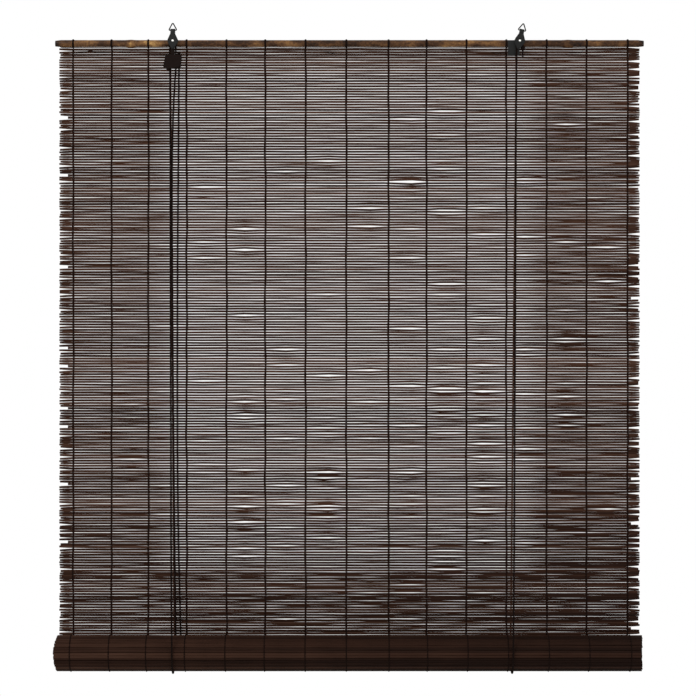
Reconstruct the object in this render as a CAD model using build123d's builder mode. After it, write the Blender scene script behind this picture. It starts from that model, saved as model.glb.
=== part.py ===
from build123d import *

import os
from math import cos, pi, radians, sin

# Bamboo roll-up blind that hangs from two wire rings, with its lower half rolled up.
# Millimetres. X runs along the head rail, -Y faces the room and +Z is up.
# The origin lies midway between the two rings, on the line where the hooks carry them.

# Head rail: a natural cane with swollen nodes
rail_length = 1200.0
rail_r = 7.25
rail_drop = 40.0
rail_end_chamfer = 1.2
cane_node_shares = (-0.371, -0.108, 0.167, 0.371)
cane_node_rise = 0.8
cane_node_half = 5.0
cane_sides = 16

# Reed mat: sticks that touch along their edges, so each one is a ridge
mat_width = 1184.0
stick_count = 230
stick_pitch = 5.34
stick_thickness = 2.4
valley_thickness = 1.0
mat_gap = 2.4
seam_gap = 0.3

# Openings in the mat: slits between bowed sticks, splits and short sticks at the edges
slit_count = 36
slit_row_step = 67
slit_bay_step = 5
slit_length_shares = (0.85, 0.6, 0.75, 0.5)
slit_height = 4.0
split_count = 9
split_row_step = 67
split_depth = 24.0
split_height = 3.6
short_count = 8
short_row_step = 83
short_cuts = (4.0, 2.5, 5.5)
right_edge_shift = 13

# Warp threads: one looped over the rail and down both faces of the mat at each place
warp_count = 15
warp_edge = 27.8
warp_shift_shares = (
    (0.01, -0.02, -0.09, -0.12, -0.11)
    + (-0.13, -0.11, -0.08, -0.01, -0.05)
    + (-0.04, -0.03, -0.01, 0.0, 0.04)
)
thread_width = 2.6
thread_thickness = 0.8
thread_clearance = 0.1

# Roll: the rest of the mat, wound on a bottom cane
roll_r = 38.2
turn_count = 8.5
facets_per_turn = 10
outer_stick_count = 44
batten_r = 7.0
batten_clearance = 0.6

# Lift cord
cord_r = 2.0
cord_sides = 4
sheave_turn_steps = 6
roll_turn_steps = 10
cord_room = 0.5
groove_clearance = 0.1
cord_end_gap = 0.2
left_loop_x = -357.0
right_loop_x = 329.0

# Hanging units: places, and how far the right one leans
left_x = -359.5
right_x = 346.5
right_lean = 12.0
axle_rise = 4.1

# Wire rings
wire_r = 1.0
wire_sides = 6
ring_half_width = 8.4
ring_height = 15.5
ring_corner_cut = 2.6
running_clearance = 0.1

# Pulley housings: two cheeks under a neck with a barrel for the ring
cheek_thickness = 1.2
cheek_r = 10.5
crown_r = 4.8
crown_reach = 13.5
tail_r = 3.5
tail_reach = 13.8
barrel_r = 3.0
neck_half_length = 4.8
neck_low = 11.0
neck_shoulder = 15.0

# Sheaves and rivets
sheave_width = 7.0
sheave_root_r = 4.0
sheave_flange_r = 8.6
groove_width = 4.4
side_clearance = 0.3
axle_r = 1.6
axle_clearance = 0.05
turned_sides = 14
hole_sides = 8
rivet_head_r = 2.5
rivet_head_height = 1.2
rivet_crown_share = 0.55
tail_rivet_r = 1.3

# Bands that clip the units to the rail, with a flat lug in front and a plate behind.
# The right one also has a wide clip plate in front, beside its pulley.
band_thickness = 1.0
band_half_width = 4.5
band_clearance = 0.1
lug_thickness = 0.9
lug_rise = 9.0
lug_fall = 3.0
plate_rise = 4.0
plate_fall = 6.5
plate_margin = 5.0
clip_clearance = 1.2
clip_rise = 6.0
clip_fall = 25.0

# Guide posts behind the rail, where the lift cord crosses from side to side
post_r = 4.0
post_head_r = 6.0
post_head_thickness = 1.2
post_rise = -1.0
post_shank_r = 1.5
cross_start_drop = 60.0
cross_bend_drop = 48.0
cross_rise_drop = 17.0

# Cord lock under the left unit
lock_width = 39.0
lock_height = 31.5
lock_hang = 27.5
lock_corner_shares = (
    (-0.36, 0.0),
    (0.47, -0.06),
    (0.42, -0.84),
    (-0.30, -1.0),
    (-0.50, -0.81),
)
lock_corner_cut = 2.5
lock_wall = 2.5
channel_clearance = 0.35
lift_channel_run = 3.4
return_offset = 12.5
ear_half_width = 3.5
ear_thickness = 3.0
ear_root = 4.0
cam_offset = 1.2
cam_hang = 42.0
cam_r = 1.9
cam_lobe_r = 0.8
chamber_r = 3.3
lock_pin_r = 0.9
knot_sides = 6
knot_level_shares = (-0.9, -0.35, 0.35, 0.9)
knot_r = 3.8
return_knot_drop = 25.8
end_knot_r = 5.0
end_knot_drop = 14.2
end_tail_length = 20.0

# Free pull cords, from the lock down into the nip between mat and roll
pull_points = [
    (-353.4, -13.35, -95.1),
    (-354.6, -13.0, -250.0),
    (-355.4, -12.0, -520.0),
    (-353.4, -10.4, -820.0),
    (-353.0, -8.4, -1040.0),
    (-354.0, -5.4, -1254.0),
]
return_points = [
    (-347.0, -13.35, -95.1),
    (-347.6, -14.6, -230.0),
    (-349.6, -15.6, -470.0),
    (-350.2, -15.2, -760.0),
    (-349.6, -13.0, -960.0),
    (-347.4, -9.6, -1110.0),
    (-343.8, -5.4, -1254.0),
]
pull_bend_share = 0.45

# Places worked out from the sizes above
rail_z = -rail_drop
axle_z = rail_z + axle_rise
mat_top = rail_z - rail_r - mat_gap
mat_height = stick_count * stick_pitch
warp_pitch = (mat_width - 2 * warp_edge) / (warp_count - 1)
warp_places = [
    (i - (warp_count - 1) / 2 + warp_shift_shares[i % len(warp_shift_shares)]) * warp_pitch
    for i in range(warp_count)
]
mat_bottom = mat_top - mat_height
half_stick = stick_thickness / 2
half_valley = valley_thickness / 2
roll_y = half_stick - roll_r
roll_z = mat_bottom - seam_gap
loop_r = roll_r + cord_room + cord_r
turn_pitch = (roll_r - stick_thickness - batten_r - batten_clearance) / turn_count
band_r = rail_r + band_clearance
band_face = band_r + band_thickness
lug_inner = band_face - lug_thickness
housing_gap = sheave_width + 2 * side_clearance
sheave_y = -(band_face + cheek_thickness + housing_gap / 2)
front_face_y = -(band_face + 2 * cheek_thickness + housing_gap)
wrap_r = sheave_root_r + groove_clearance + cord_r
bar_rise = rail_drop - axle_rise + wire_r - ring_height
post_wrap_r = post_r + groove_clearance + cord_r
post_z = rail_z + post_rise
cross_y = band_face + groove_clearance + cord_r
post_length = 2 * (groove_clearance + cord_r)
rear_y = half_stick + cord_room + cord_r
left_post_x = left_x - wrap_r + post_wrap_r
right_post_x = right_x - wrap_r - post_wrap_r
thread_beside = max(x for x in warp_places if x < right_x - band_half_width)
clip_left = thread_beside + thread_width / 2 + clip_clearance


def unit_plane(x, lean, y):
    """Plane that faces the room at depth y, centred on a unit's axle, with its own y up along the unit."""
    tilt = radians(lean)
    return Plane(origin=(x, y, axle_z), x_dir=(cos(tilt), 0, -sin(tilt)), z_dir=(0, -1, 0))


def save(piece, name):
    piece.label = name
    export_step(piece, f"parts/{name}.step")


def make_head_rail():
    stations = [(-rail_length / 2, rail_r - rail_end_chamfer), (-rail_length / 2 + rail_end_chamfer, rail_r)]
    for share in cane_node_shares:
        node_x = share * rail_length
        stations.append((node_x - cane_node_half, rail_r))
        stations.append((node_x, rail_r + cane_node_rise))
        stations.append((node_x + cane_node_half, rail_r))
    stations.append((rail_length / 2 - rail_end_chamfer, rail_r))
    stations.append((rail_length / 2, rail_r - rail_end_chamfer))
    with BuildPart() as head_rail:
        for x, r in stations:
            with BuildSketch(Plane.YZ.offset(x)):
                with Locations((0, rail_z)):
                    RegularPolygon(r, cane_sides)
        loft(ruled=True)
    return head_rail.part


def make_mat():
    front, back = [], []
    for i in range(stick_count):
        valley_z = mat_bottom + i * stick_pitch
        crest_z = valley_z + stick_pitch / 2
        front += [(-half_valley, valley_z), (-half_stick, crest_z)]
        back += [(half_valley, valley_z), (half_stick, crest_z)]
    front.append((-half_valley, mat_top))
    back.append((half_valley, mat_top))
    bays = warp_count - 1
    edge = mat_width / 2
    with BuildPart() as mat:
        with BuildSketch(Plane.YZ):
            Polygon(*front, *reversed(back), align=None)
        extrude(amount=mat_width / 2, both=True)
        with BuildSketch(Plane.XZ):
            for k in range(slit_count):
                row = 1 + (k * slit_row_step) % (stick_count - 1)
                bay = (k * slit_bay_step) % bays
                bay_left, bay_right = warp_places[bay], warp_places[bay + 1]
                reach = slit_length_shares[k % len(slit_length_shares)] * (bay_right - bay_left) / 2
                rise = slit_height / 2
                with Locations(((bay_left + bay_right) / 2, mat_bottom + row * stick_pitch)):
                    Polygon((-reach, 0), (0, -rise), (reach, 0), (0, rise), align=None)
            for side in (-1, 1):
                shift = right_edge_shift if side > 0 else 0
                for k in range(split_count):
                    row = 1 + (k * split_row_step + shift) % (stick_count - 1)
                    rise = split_height / 2
                    with Locations((side * edge, mat_bottom + row * stick_pitch)):
                        Polygon((0, -rise), (0, rise), (-side * split_depth, 0), align=None)
                for k in range(short_count):
                    row = (k * short_row_step + shift) % stick_count
                    cut = short_cuts[k % len(short_cuts)]
                    with Locations((side * (edge - cut / 2), mat_bottom + (row + 0.5) * stick_pitch)):
                        Rectangle(cut, stick_pitch)
        extrude(amount=stick_thickness, both=True, mode=Mode.SUBTRACT)
    return mat.part


def warp_outline(grow):
    """Points of one face of a warp thread, from the mat's foot at the front, over the rail, to the back."""
    eighth = (rail_r + thread_clearance + grow) * (2**0.5 - 1)
    wide = rail_r + thread_clearance + grow
    near = half_stick + thread_clearance + grow
    front = [(-near, mat_bottom), (-near, mat_top), (-wide, rail_z - eighth), (-wide, rail_z + eighth)]
    front.append((-eighth, rail_z + wide))
    return front + [(-y, z) for y, z in reversed(front)]


def make_warp_threads():
    outline = warp_outline(thread_thickness) + list(reversed(warp_outline(0)))
    with BuildPart() as warp_threads:
        for x in warp_places:
            with BuildSketch(Plane.YZ.offset(x)):
                Polygon(*outline, align=None)
            extrude(amount=thread_width / 2, both=True)
    return warp_threads.part


def roll_point(turn, inset):
    """A point of the wound mat, so many turns in from its outer end, which lies at the back."""
    r = roll_r - turn * turn_pitch - inset
    angle = -2 * pi * turn
    return (roll_y + r * cos(angle), roll_z + r * sin(angle))


def make_mat_roll():
    outside = []
    for k in range(outer_stick_count):
        outside.append(roll_point(k / outer_stick_count, half_stick - half_valley))
        outside.append(roll_point((k + 0.5) / outer_stick_count, 0))
    facets = round(turn_count * facets_per_turn)
    outside += [roll_point(k / facets_per_turn, 0) for k in range(facets_per_turn, facets + 1)]
    inside = [roll_point(k / facets_per_turn, stick_thickness) for k in range(facets + 1)]
    with BuildPart() as mat_roll:
        with BuildSketch(Plane.YZ):
            Polygon(*outside, *reversed(inside), align=None)
        extrude(amount=mat_width / 2, both=True)
    return mat_roll.part


def make_bottom_cane():
    with BuildPart() as bottom_cane:
        with BuildSketch(Plane.YZ):
            with Locations((roll_y, roll_z)):
                Circle(batten_r)
        extrude(amount=mat_width / 2, both=True)
    return bottom_cane.part


def make_ring(x, lean):
    frame = unit_plane(x, lean, sheave_y)
    bar = frame.origin + frame.y_dir * bar_rise
    left = bar - frame.x_dir * ring_half_width
    right = bar + frame.x_dir * ring_half_width
    top = bar + frame.y_dir * ring_height
    corners = []
    for before, corner, after in ((left, right, top), (right, top, left), (top, left, right)):
        corners.append(corner + (before - corner).normalized() * ring_corner_cut)
        corners.append(corner + (after - corner).normalized() * ring_corner_cut)
    with BuildPart() as ring:
        with BuildLine() as path:
            Polyline(bar, *corners, close=True)
        with BuildSketch(Plane(origin=bar, x_dir=frame.y_dir, z_dir=frame.x_dir)):
            RegularPolygon(wire_r, wire_sides)
        sweep(path=path.wire(), transition=Transition.RIGHT)
    return ring.part


def round_outline(circles, sides):
    """Points of the outline that wraps circles given as (x, y, r), each cut to a few straight sides."""
    points = []
    for cx, cy, r in circles:
        for k in range(sides):
            turn = 2 * pi * k / sides
            points.append((cx + r * cos(turn), cy + r * sin(turn)))
    points.sort()
    lower, upper = [], []
    for chain, ordered in ((lower, points), (upper, points[::-1])):
        for p in ordered:
            while len(chain) > 1:
                (ax, ay), (bx, by) = chain[-2], chain[-1]
                if (bx - ax) * (p[1] - ay) - (by - ay) * (p[0] - ax) > 0:
                    break
                chain.pop()
            chain.append(p)
    return lower[:-1] + upper[:-1]


def make_housing(x, lean):
    neck = unit_plane(x, lean, sheave_y)
    half_depth = housing_gap / 2 + cheek_thickness
    rear_cheek = unit_plane(x, lean, -band_face)
    front_cheek = unit_plane(x, lean, front_face_y + cheek_thickness)
    with BuildPart() as housing:
        with BuildSketch(rear_cheek, front_cheek):
            Polygon(
                *round_outline(
                    [(0, 0, cheek_r), (0, crown_reach, crown_r), (0, -tail_reach, tail_r)], turned_sides
                ),
                align=None,
            )
        extrude(amount=cheek_thickness)
        with BuildSketch(Plane(origin=neck.origin, x_dir=-neck.z_dir, z_dir=neck.x_dir)):
            Polygon(
                (-half_depth, neck_low),
                (half_depth, neck_low),
                (half_depth, neck_shoulder),
                (barrel_r, bar_rise),
                (-barrel_r, bar_rise),
                (-half_depth, neck_shoulder),
                align=None,
            )
            with Locations((0, bar_rise)):
                RegularPolygon(barrel_r, turned_sides)
        extrude(amount=neck_half_length, both=True)
        with BuildSketch(Plane(origin=neck.origin, x_dir=-neck.z_dir, z_dir=neck.x_dir)):
            with Locations((0, bar_rise)):
                Circle(wire_r + running_clearance)
        extrude(amount=neck_half_length, both=True, mode=Mode.SUBTRACT)
        with BuildSketch(rear_cheek):
            RegularPolygon(axle_r + axle_clearance, hole_sides, major_radius=False)
            with Locations((0, -tail_reach)):
                RegularPolygon(tail_rivet_r + axle_clearance, hole_sides, major_radius=False)
        extrude(amount=2 * half_depth, mode=Mode.SUBTRACT)
    return housing.part


def make_sheave(x):
    flange = (sheave_width - groove_width) / 2
    back_y = sheave_y + sheave_width / 2
    with BuildPart() as sheave:
        with BuildSketch(unit_plane(x, 0, back_y), unit_plane(x, 0, back_y - flange - groove_width)):
            RegularPolygon(sheave_flange_r, turned_sides)
        extrude(amount=flange)
        with BuildSketch(unit_plane(x, 0, back_y - flange)):
            RegularPolygon(sheave_root_r, turned_sides)
        extrude(amount=groove_width)
        with BuildSketch(unit_plane(x, 0, back_y)):
            Circle(axle_r + axle_clearance)
        extrude(amount=sheave_width, mode=Mode.SUBTRACT)
    return sheave.part


def make_turned(x, y, z, steps):
    """A turned piece on a front-to-back axis: (radius, length) steps, from depth y to the front."""
    with BuildPart() as turned:
        for r, length in steps:
            with BuildSketch(Plane(origin=(x, y, z), x_dir=(1, 0, 0), z_dir=(0, -1, 0))):
                RegularPolygon(r, hole_sides)
            extrude(amount=length)
            y -= length
    return turned.part


def make_rivet(x, y, z, shank_r, length, head_r):
    """A rivet whose shank runs to the front from depth y and ends in a stepped head."""
    rim = rivet_head_height * (1 - rivet_crown_share)
    crown = rivet_head_height * rivet_crown_share
    return make_turned(x, y, z, [(shank_r, length), (head_r, rim), (head_r * rivet_crown_share, crown)])


def make_rail_band(x, post_x, has_clip):
    """A clip round the rail: the front lug carries the pulley, the rear plate carries the guide post."""
    plate_left = min(x - band_half_width, post_x - plate_margin)
    plate_right = max(x + band_half_width, post_x + plate_margin)
    with BuildPart() as rail_band:
        with BuildSketch(Plane.YZ.offset(x)):
            with Locations((0, rail_z)):
                RegularPolygon(band_r + lug_thickness, turned_sides)
            with Locations((-band_face, rail_z - lug_fall)):
                Rectangle(lug_thickness, lug_rise + lug_fall, align=(Align.MIN, Align.MIN))
            with Locations((0, rail_z)):
                RegularPolygon(band_r, turned_sides, major_radius=False, mode=Mode.SUBTRACT)
        extrude(amount=band_half_width, both=True)
        if has_clip:
            with BuildSketch(Plane.XZ.offset(lug_inner)):
                with Locations((clip_left, rail_z - clip_fall)):
                    Rectangle(x - clip_left, clip_fall + clip_rise, align=(Align.MIN, Align.MIN))
            extrude(amount=lug_thickness)
        with BuildSketch(Plane.XZ.offset(-band_face)):
            with Locations((plate_left, rail_z - plate_fall)):
                Rectangle(plate_right - plate_left, plate_fall + plate_rise, align=(Align.MIN, Align.MIN))
        extrude(amount=lug_thickness)
        with BuildSketch(Plane.XZ.offset(band_r - band_thickness)):
            with Locations((x, axle_z)):
                RegularPolygon(axle_r + axle_clearance, hole_sides, major_radius=False)
        extrude(amount=2 * band_thickness, mode=Mode.SUBTRACT)
        with BuildSketch(Plane.XZ.offset(-band_face)):
            with Locations((post_x, post_z)):
                RegularPolygon(post_shank_r + axle_clearance, hole_sides, major_radius=False)
        extrude(amount=2 * band_thickness, mode=Mode.SUBTRACT)
    return rail_band.part


def make_guide_post(x):
    back_y = band_face + post_length + post_head_thickness
    steps = [(post_head_r, post_head_thickness), (post_r, post_length), (post_shank_r, lug_thickness)]
    return make_turned(x, back_y, post_z, steps)


def make_lock_body():
    top = -lock_hang
    corners = [(a * lock_width, top + b * lock_height) for a, b in lock_corner_shares]
    half_channel = cord_r + channel_clearance
    depth = 2 * half_channel + lift_channel_run + 2 * lock_wall
    back_y = sheave_y + half_channel + lock_wall
    cut_plane = Plane.XY.offset(axle_z)
    with BuildPart() as lock_body:
        with BuildSketch(unit_plane(left_x, 0, back_y)) as shell:
            Polygon(*corners, align=None)
            chamfer(shell.vertices(), length=lock_corner_cut)
        extrude(amount=depth)
        with BuildSketch(unit_plane(left_x, 0, sheave_y + ear_thickness / 2)):
            with Locations((0, -tail_reach)):
                RegularPolygon(ear_half_width, turned_sides)
            with Locations((-ear_half_width, top - ear_root)):
                Rectangle(
                    2 * ear_half_width, lock_hang + ear_root - tail_reach, align=(Align.MIN, Align.MIN)
                )
        extrude(amount=ear_thickness)
        with BuildSketch(unit_plane(left_x, 0, sheave_y + ear_thickness / 2)):
            with Locations((0, -tail_reach)):
                RegularPolygon(tail_rivet_r + axle_clearance, hole_sides, major_radius=False)
        extrude(amount=ear_thickness, mode=Mode.SUBTRACT)
        with BuildSketch(cut_plane):
            with Locations((left_x - wrap_r, sheave_y - lift_channel_run / 2)):
                Rectangle(2 * half_channel, 2 * half_channel + lift_channel_run)
            with Locations((left_x + wrap_r, sheave_y), (left_x + return_offset, sheave_y)):
                Rectangle(2 * half_channel, 2 * half_channel)
        extrude(amount=-(lock_hang + 2 * lock_height), mode=Mode.SUBTRACT)
        with BuildSketch(unit_plane(left_x, 0, sheave_y + half_channel)):
            with Locations((cam_offset, -cam_hang)):
                RegularPolygon(chamber_r, turned_sides, major_radius=False)
        extrude(amount=2 * half_channel, mode=Mode.SUBTRACT)
        with BuildSketch(unit_plane(left_x, 0, back_y)):
            with Locations((cam_offset, -cam_hang)):
                RegularPolygon(lock_pin_r + axle_clearance, hole_sides, major_radius=False)
        extrude(amount=depth, mode=Mode.SUBTRACT)
    return lock_body.part


def make_lock_cam():
    half_channel = cord_r + channel_clearance
    reach = wrap_r - cord_r - groove_clearance - cam_offset
    with BuildPart() as lock_cam:
        with BuildSketch(unit_plane(left_x, 0, sheave_y + half_channel - groove_clearance)):
            lobe_x = cam_offset + reach - cam_lobe_r
            cam_circles = [(cam_offset, -cam_hang, cam_r), (lobe_x, -cam_hang, cam_lobe_r)]
            Polygon(*round_outline(cam_circles, turned_sides), align=None)
            with Locations((cam_offset, -cam_hang)):
                RegularPolygon(
                    lock_pin_r + axle_clearance, hole_sides, major_radius=False, mode=Mode.SUBTRACT
                )
        extrude(amount=2 * (half_channel - groove_clearance))
    return lock_cam.part


def make_lock_pin():
    depth = 2 * (cord_r + channel_clearance) + lift_channel_run + 2 * lock_wall
    back_y = sheave_y + cord_r + channel_clearance + lock_wall
    with BuildPart() as lock_pin:
        with BuildSketch(unit_plane(left_x, 0, back_y)):
            with Locations((cam_offset, -cam_hang)):
                Circle(lock_pin_r)
        extrude(amount=depth)
    return lock_pin.part


def make_cord_run(start, end):
    """A straight stretch of taut cord between two points."""
    along = Vector(*end) - Vector(*start)
    with BuildPart() as cord_run:
        with BuildSketch(Plane(origin=start, z_dir=along)):
            RegularPolygon(cord_r, cord_sides)
        extrude(amount=along.length)
    return cord_run.part


def turn_points(centre, r, out, ahead, arc, steps):
    """Corners of a taut cord's turn about a centre, outside the circle that it lies on.

    The turn starts on the side called out, heads the way called ahead, and goes on for so many degrees.
    """
    half_step = radians(arc / steps / 2)
    points = []
    for k in range(steps):
        angle = (2 * k + 1) * half_step
        spoke = Vector(*out) * cos(angle) + Vector(*ahead) * sin(angle)
        points.append(Vector(*centre) + spoke * (r / cos(half_step)))
    return points


def make_bent_cord(points):
    """A taut cord with a sharp bend at each of its points."""
    start, second = Vector(*points[0]), Vector(*points[1])
    with BuildPart() as bent_cord:
        with BuildLine() as path:
            Polyline(*points)
        with BuildSketch(Plane(origin=start, z_dir=second - start)):
            RegularPolygon(cord_r, cord_sides)
        sweep(path=path.wire(), transition=Transition.RIGHT)
    return bent_cord.part


def make_cord_loop(x):
    """A turn of cord that carries the roll, from its front face under it to the back of the mat."""
    corners = turn_points((x, roll_y, roll_z), loop_r, (0, -1, 0), (0, 0, -1), 180, roll_turn_steps)
    return make_bent_cord([(x, roll_y - loop_r, roll_z), *corners, (x, roll_y + loop_r, roll_z)])


def make_ball(x, z, r):
    """A knot pulled tight to a ball, cut to a few straight sides."""
    with BuildPart() as ball:
        for share in knot_level_shares:
            with BuildSketch(Plane.XY.offset(z + share * r)):
                with Locations((x, sheave_y)):
                    RegularPolygon(r * (1 - share**2) ** 0.5, knot_sides)
        loft(ruled=True)
    return ball.part


def make_top_turn(x, fall, knot_drop):
    """Cord over a sheave, from its left side to its right, and so far down, knotted near its end or not."""
    corners = turn_points((x, sheave_y, axle_z), wrap_r, (-1, 0, 0), (0, 0, 1), 180, sheave_turn_steps)
    foot = (x + wrap_r, sheave_y, axle_z - fall)
    with BuildPart() as top_turn:
        add(make_bent_cord([(x - wrap_r, sheave_y, axle_z), *corners, foot]))
        if knot_drop:
            add(make_ball(x + wrap_r, axle_z - knot_drop, end_knot_r))
    return top_turn.part


def make_return_knot():
    """The stopper knot on top of the lock, with the cord that hangs from it through the lock."""
    knot_z = axle_z - return_knot_drop
    with BuildPart() as return_knot:
        add(make_ball(left_x + return_offset, knot_z, knot_r))
        with BuildSketch(Plane.XY.offset(knot_z)):
            with Locations((left_x + return_offset, sheave_y)):
                RegularPolygon(cord_r, cord_sides)
        extrude(amount=return_knot_drop - lock_hang - lock_height)
    return return_knot.part


def make_swept_cord(points, radii):
    with BuildPart() as swept_cord:
        with BuildLine() as path:
            FilletPolyline(*points, radius=radii)
        with BuildSketch(Plane(origin=points[0], z_dir=Vector(*points[1]) - Vector(*points[0]))) as section:
            RegularPolygon(cord_r, cord_sides)
        sweep(path=path.wire())
    expected = section.sketch.area * path.wire().length
    print("cord length", round(path.wire().length, 1), "volume ratio", swept_cord.part.volume / expected)
    return swept_cord.part


def bend_radii(points):
    """The largest even bend at each corner of a free cord's route."""
    radii = []
    for a, b, c in zip(points, points[1:], points[2:]):
        coming, going = Vector(*b) - Vector(*a), Vector(*c) - Vector(*b)
        half_turn = radians(coming.get_angle(going)) / 2
        shorter = min(coming.length, going.length)
        radii.append(pull_bend_share * shorter * cos(half_turn) / sin(half_turn))
    print("bend radii", [round(r) for r in radii])
    return radii


def make_cross_cord():
    """Cord across the back of the rail, round both guide posts and down to the rear runs."""
    rear = [
        (rear_y, rail_z - cross_start_drop),
        (rear_y, rail_z - cross_bend_drop),
        (cross_y, rail_z - cross_rise_drop),
    ]
    left, right = left_x - wrap_r, right_x - wrap_r
    steps = sheave_turn_steps // 2
    over_left = turn_points((left_post_x, cross_y, post_z), post_wrap_r, (-1, 0, 0), (0, 0, 1), 90, steps)
    over_right = turn_points((right_post_x, cross_y, post_z), post_wrap_r, (0, 0, 1), (1, 0, 0), 90, steps)
    rise = [(left, y, z) for y, z in rear]
    fall = [(right, y, z) for y, z in reversed(rear)]
    return make_bent_cord([*rise, *over_left, *over_right, *fall])


os.makedirs("parts", exist_ok=True)

save(make_head_rail(), "head_rail")
save(make_mat(), "reed_mat")
save(make_warp_threads(), "warp_threads")
save(make_mat_roll(), "mat_roll")
save(make_bottom_cane(), "bottom_cane")

for side, x, lean, post_x in (("left", left_x, 0, left_post_x), ("right", right_x, right_lean, right_post_x)):
    save(make_ring(x, lean), f"{side}_ring")
    save(make_housing(x, lean), f"{side}_pulley_housing")
    save(make_sheave(x), f"{side}_sheave")
    axle_length = -front_face_y - lug_inner
    save(make_rivet(x, -lug_inner, axle_z, axle_r, axle_length, rivet_head_r), f"{side}_axle_rivet")
    save(make_rail_band(x, post_x, side == "right"), f"{side}_rail_band")
    save(make_guide_post(post_x), f"{side}_guide_post")

save(make_lock_body(), "lock_body")
save(make_lock_cam(), "lock_cam")
save(make_lock_pin(), "lock_pin")
save(
    make_rivet(
        left_x, -band_face, axle_z - tail_reach, tail_rivet_r, -front_face_y - band_face, rivet_head_r
    ),
    "lock_rivet",
)

front_y = roll_y - loop_r
for side, x, loop_x in (("left", left_x, left_loop_x), ("right", right_x, right_loop_x)):
    top_x = x - wrap_r
    front_foot = (loop_x, front_y, roll_z + cord_end_gap)
    front_head = (top_x, sheave_y, axle_z - cord_end_gap)
    rear_foot = (loop_x, rear_y, roll_z + cord_end_gap)
    rear_head = (top_x, rear_y, rail_z - cross_start_drop - cord_end_gap)
    save(make_cord_run(front_foot, front_head), f"{side}_front_cord")
    save(make_cord_run(rear_foot, rear_head), f"{side}_rear_cord")

save(Compound(children=[make_cord_loop(left_loop_x), make_cord_loop(right_loop_x)]), "cord_loops")
top_cords = [
    make_cross_cord(),
    make_top_turn(left_x, lock_hang + lock_height, 0),
    make_top_turn(right_x, end_knot_drop + end_tail_length, end_knot_drop),
    make_return_knot(),
]
save(Compound(children=top_cords), "lift_cord")
save(make_swept_cord(pull_points, bend_radii(pull_points)), "pull_cord")
save(make_swept_cord(return_points, bend_radii(return_points)), "return_cord")
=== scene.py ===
# %% [markdown]
# # Dressing a bamboo roll-up blind
#
# The blind is a mat of dark reeds, twined together by fifteen threads and hung from a cane by two
# pulleys. Its lower half is rolled up in two turns of cord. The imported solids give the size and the
# place of every piece. This lesson puts real reeds, twine, cord and cane where the plain solids are.

# %% Load the frame
import math
import random

import bmesh
import bpy
import numpy as np
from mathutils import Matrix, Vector


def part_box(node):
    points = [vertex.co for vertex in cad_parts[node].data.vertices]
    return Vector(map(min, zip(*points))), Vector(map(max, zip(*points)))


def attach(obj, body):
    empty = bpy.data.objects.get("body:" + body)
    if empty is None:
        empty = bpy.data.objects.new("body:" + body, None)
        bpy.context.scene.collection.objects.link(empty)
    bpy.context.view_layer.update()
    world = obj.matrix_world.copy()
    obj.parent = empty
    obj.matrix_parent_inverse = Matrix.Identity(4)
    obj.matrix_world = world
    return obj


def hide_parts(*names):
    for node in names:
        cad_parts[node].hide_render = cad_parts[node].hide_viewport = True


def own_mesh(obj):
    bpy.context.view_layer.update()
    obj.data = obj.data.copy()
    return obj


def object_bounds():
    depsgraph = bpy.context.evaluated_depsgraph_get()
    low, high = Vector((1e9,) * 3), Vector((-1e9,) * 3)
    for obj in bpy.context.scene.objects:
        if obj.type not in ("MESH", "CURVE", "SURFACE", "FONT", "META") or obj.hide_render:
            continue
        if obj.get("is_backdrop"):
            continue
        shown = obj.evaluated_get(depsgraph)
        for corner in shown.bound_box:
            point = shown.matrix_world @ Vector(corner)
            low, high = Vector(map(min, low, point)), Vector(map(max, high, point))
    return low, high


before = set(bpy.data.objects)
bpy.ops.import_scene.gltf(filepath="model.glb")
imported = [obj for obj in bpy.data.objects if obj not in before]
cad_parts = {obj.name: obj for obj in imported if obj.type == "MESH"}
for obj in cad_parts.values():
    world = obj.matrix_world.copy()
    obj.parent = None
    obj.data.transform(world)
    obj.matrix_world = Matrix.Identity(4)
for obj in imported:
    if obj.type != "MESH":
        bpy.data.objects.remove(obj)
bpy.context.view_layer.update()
MM = 0.001

# %% [markdown]
# ## Small tools
#
# Colours are written as the sRGB hex values that one reads from a picture, and Blender wants them
# linear. One helper adds a shader node with its settings and its links, so that each material below
# reads as a list of what the surface is made of.


# %% Helpers for colours and nodes
def linear(hex_colour):
    """An sRGB hex colour as the linear RGBA that Blender's sockets take."""
    parts = [int(hex_colour[i : i + 2], 16) / 255 for i in (1, 3, 5)]
    return [c / 12.92 if c <= 0.04045 else ((c + 0.055) / 1.055) ** 2.4 for c in parts] + [1.0]


def add_node(tree, kind, settings=(), inputs=(), links=()):
    """Adds one node. settings are its properties, inputs its values, links its sockets' sources."""
    node = tree.nodes.new(kind)
    for name, value in dict(settings).items():
        setattr(node, name, value)
    for name, value in dict(inputs).items():
        node.inputs[name].default_value = value
    for name, source in dict(links).items():
        tree.links.new(source, node.inputs[name])
    return node


def new_material(name):
    """An empty material with its Principled shader, ready for patterns."""
    material = bpy.data.materials.new(name)
    material.use_nodes = True
    tree = material.node_tree
    return material, tree, tree.nodes["Principled BSDF"]


def set_stops(ramp, stops):
    """Gives a colour ramp its places and hex colours."""
    elements = ramp.color_ramp.elements
    while len(elements) < len(stops):
        elements.new(0.5)
    for element, (place, colour) in zip(elements, stops):
        element.position = place
        element.color = linear(colour)


def deselect_all():
    for other in list(bpy.context.selected_objects):
        other.select_set(False)


def activate(piece):
    deselect_all()
    piece.select_set(True)
    bpy.context.view_layer.objects.active = piece


def paint(piece, material):
    piece.data.materials.clear()
    piece.data.materials.append(material)


def smooth(piece, degrees):
    activate(piece)
    bpy.ops.object.shade_smooth_by_angle(angle=math.radians(degrees))


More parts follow.
